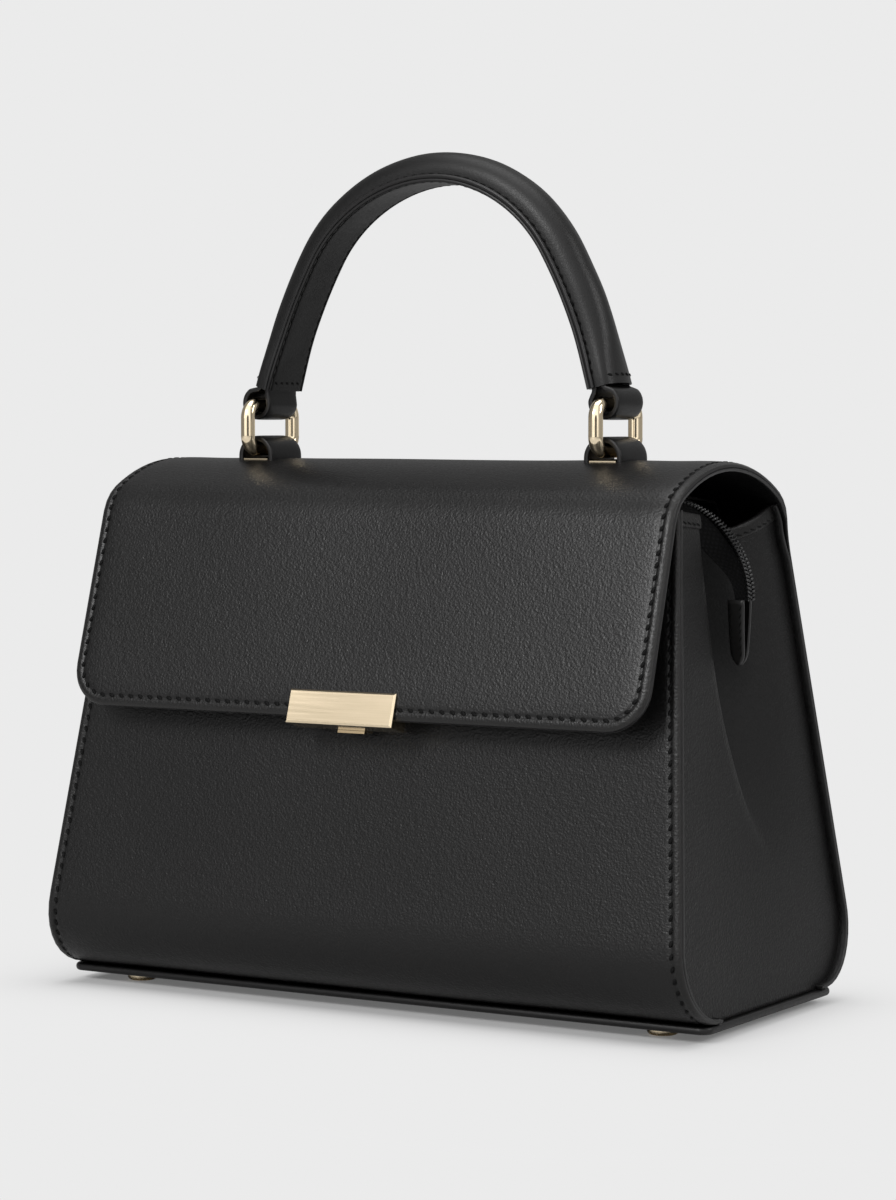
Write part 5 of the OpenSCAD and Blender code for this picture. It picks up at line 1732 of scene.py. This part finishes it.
@dataclass
class Fittings:
    """Metal and board parts that keep their CAD shape and get their real finish."""
    shop: Workshop
    finishes: dict[str, object] = field(default_factory=lambda: {
        "lock_bar": BRUSHED, "lock_tongue": SATIN, "lock_case": SATIN, "release_tab": POLISHED,
        "ring_left": POLISHED, "ring_right": POLISHED, "loop_seat_left": POLISHED, "loop_seat_right": POLISHED,
        "feet": SATIN, "zip_slider": POLISHED, "zip_pull": POLISHED, "foot_washers": NICKEL,
        "lock_backplate": NICKEL, "lock_rivets": NICKEL, "loop_anchor_left": BLACKENED,
        "loop_anchor_right": BLACKENED, "lock_spring": PlatedSteel("spring_steel", 0.22),
        "base_board": PressedFibre("pressed_fibre_board", "#5d5140", "#7b6c56")})

    def build(self) -> None:
        """Assigns each fitting's finish to its node's slots."""
        for name, finish in self.finishes.items():
            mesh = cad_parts[name].data
            material = self.shop.get(finish)
            if not mesh.materials:
                mesh.materials.append(material)
            for k in range(len(mesh.materials)):
                mesh.materials[k] = material
            log.info("%s: %s", name, material.name)


def stand(name: str, data: bpy.types.ID, place: tuple[float, float, float], way: Vector) -> bpy.types.Object:
    """Puts a camera or lamp at a place, in metres, looking along a direction."""
    made = bpy.data.objects.new(name, data)
    bpy.context.scene.collection.objects.link(made)
    made.location = place
    made.rotation_mode = "QUATERNION"
    made.rotation_quaternion = way.to_track_quat("-Z", "Y")
    return made


@dataclass(frozen=True)
class Softbox:
    """One rectangular lamp, in metres and watts, aimed at the middle of the bag."""
    name: str
    place: tuple[float, float, float]
    size: tuple[float, float]
    power: float
    aim: tuple[float, float, float] = (0.0, 0.0, 0.14)

    def build(self) -> None:
        """Adds the lamp to the scene."""
        data = bpy.data.lights.new(self.name, "AREA")
        data.shape, data.size, data.size_y, data.energy = "RECTANGLE", *self.size, self.power
        stand(self.name, data, self.place, Vector(self.aim) - Vector(self.place))


@dataclass
class Studio:
    """Camera, pale floor and plain soft light, in metres."""
    place: tuple[float, float, float] = (0.6979, -1.1425, 0.2270)
    turn_deg: float = 31.29
    pitch_deg: float = 3.07
    lens: float = 102.2
    pale: str = "#ebebeb"
    fill: float = 0.27
    room: float = 1.75
    walls: float = 0.42
    left: float = 0.16
    dimmest: float = 0.3
    behind_camera: float = 0.06
    footprint: tuple[float, float, float] = (0.137, 0.055, 0.0)
    shading: float = 0.85
    shadow_run: float = 0.017
    reach: float = 14.0
    lamps: tuple[Softbox, ...] = (
        Softbox("key_softbox", (-0.35, -2.7, 2.0), (1.1, 1.2), 48.0),
        Softbox("side_softbox", (2.3, 0.5, 1.5), (0.9, 1.4), 18.0),
        Softbox("top_softbox", (0.0, 0.2, 2.8), (2.4, 1.6), 20.0))

    def camera(self) -> None:
        """Camera where the photograph was taken from, solved from the bag's edges."""
        data = bpy.data.cameras.new("camera")
        data.lens, data.sensor_width, data.sensor_fit = self.lens, 36.0, "AUTO"
        data.clip_start, data.clip_end = 0.05, 60.0
        a, e = math.radians(self.turn_deg), math.radians(self.pitch_deg)
        back = Vector((math.sin(a) * math.cos(e), -math.cos(a) * math.cos(e), math.sin(e)))
        bpy.context.scene.camera = stand("camera", data, self.place, -back)

    def mirrored(self, tree: bpy.types.NodeTree) -> bpy.types.NodeSocket:
        """How bright the room looks to polished surfaces, in each direction."""
        way = add_node(tree, "ShaderNodeTexCoord").outputs["Generated"]
        x = add_node(tree, "ShaderNodeSeparateXYZ", links={0: way}).outputs["X"]
        # A pale room in front, and dimmer walls aside, above and behind
        behind = vectors(tree, "DOT_PRODUCT", way, (0.0, 0.55, 0.35)).outputs["Value"]
        away = maths(tree, "ADD", maths(tree, "MULTIPLY", maths(tree, "ABSOLUTE", x), 0.75), behind)
        walls = eased(tree, away, 0.3, 0.8, self.room, self.walls)
        # The room is dimmer on its left, so the front face brightens towards the right
        left = eased(tree, x, -0.62, -0.36, self.left, 1.0)
        # Behind the photographer the room is dark, which draws the dark line down each ring
        ahead = vectors(tree, "DOT_PRODUCT", way, (0.52, -0.854, 0.0)).outputs["Value"]
        lens = eased(tree, ahead, 0.93, 0.985, 1.0, self.behind_camera)
        lit = maths(tree, "MAXIMUM", maths(tree, "MULTIPLY", walls, left), self.dimmest)
        return maths(tree, "MULTIPLY", lit, lens)

    def world(self) -> None:
        """Even pale surroundings: softer as a light than as what the camera and metal see."""
        world = bpy.data.worlds.new("studio")
        world.use_nodes = True
        tree = world.node_tree
        tree.nodes.clear()
        rays = add_node(tree, "ShaderNodeLightPath").outputs
        seen = maths(tree, "MAXIMUM", rays["Is Camera Ray"], rays["Is Transmission Ray"])
        pale = {"Color": linear(self.pale)}
        light = add_node(tree, "ShaderNodeBackground", {"Color": (1, 1, 1, 1), "Strength": self.fill})
        mirrored = add_node(tree, "ShaderNodeBackground", pale, {"Strength": self.mirrored(tree)})
        shown = add_node(tree, "ShaderNodeBackground", pale | {"Strength": 1.0})
        lit = add_node(tree, "ShaderNodeMixShader", links={
            0: rays["Is Glossy Ray"], 1: light.outputs[0], 2: mirrored.outputs[0]})
        both = add_node(tree, "ShaderNodeMixShader", links={0: seen, 1: lit.outputs[0], 2: shown.outputs[0]})
        add_node(tree, "ShaderNodeOutputWorld", links={"Surface": both.outputs[0]})
        bpy.context.scene.world = world

    def floor(self) -> None:
        """Wide pale sheet that keeps the bag's shadow and fades into the background further out."""
        mesh = bpy.data.meshes.new("floor")
        corners = ((-1, -1), (1, -1), (1, 1), (-1, 1))
        mesh.from_pydata([(x * self.reach, y * self.reach, 0.0) for x, y in corners], [], [(0, 1, 2, 3)])
        made = bpy.data.objects.new("floor", mesh)
        bpy.context.scene.collection.objects.link(made)
        s = Surface("pale_studio_paper", {
            "Base Color": linear(self.pale), "Roughness": 0.9, "Specular IOR Level": 0.1})
        # The paper's own shading counts most right beside the base and fades out within 80 mm
        spread = vectors(s.tree, "ABSOLUTE", s.place).outputs["Vector"]
        past = vectors(s.tree, "SUBTRACT", spread, self.footprint).outputs["Vector"]
        past = vectors(s.tree, "MAXIMUM", past).outputs["Vector"]
        away = vectors(s.tree, "LENGTH", past).outputs["Value"]
        near = s.maths("EXPONENT", s.maths("MULTIPLY", away, -1 / self.shadow_run))
        share = s.maths("ADD", s.maths("MULTIPLY", near, -self.shading), 1.0)
        camera = add_node(s.tree, "ShaderNodeLightPath").outputs["Is Camera Ray"]
        glow = add_node(s.tree, "ShaderNodeEmission", {"Color": linear(self.pale), "Strength": 1.0})
        mixed = add_node(s.tree, "ShaderNodeMixShader", links={
            0: s.maths("MULTIPLY", share, camera), 1: s.shader.outputs[0], 2: glow.outputs[0]})
        s.tree.links.new(mixed.outputs[0], s.output.inputs["Surface"])
        mesh.materials.append(s.material)

    def build(self) -> None:
        """Sets the whole studio up."""
        self.camera()
        self.world()
        self.floor()
        for lamp in self.lamps:
            lamp.build()
        bpy.context.scene.view_settings.view_transform = "Standard"
        log.info("studio built")


def main() -> None:
    """Builds the bag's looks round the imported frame."""
    logging.basicConfig(level=logging.INFO, format="%(name)s %(message)s")
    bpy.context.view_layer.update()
    shop = Workshop()
    Studio().build()
    body = Body(shop)
    body.build()
    Handle(shop).build()
    Zip(shop, body).build()
    Fittings(shop).build()


if __name__ == "__main__":
    main()
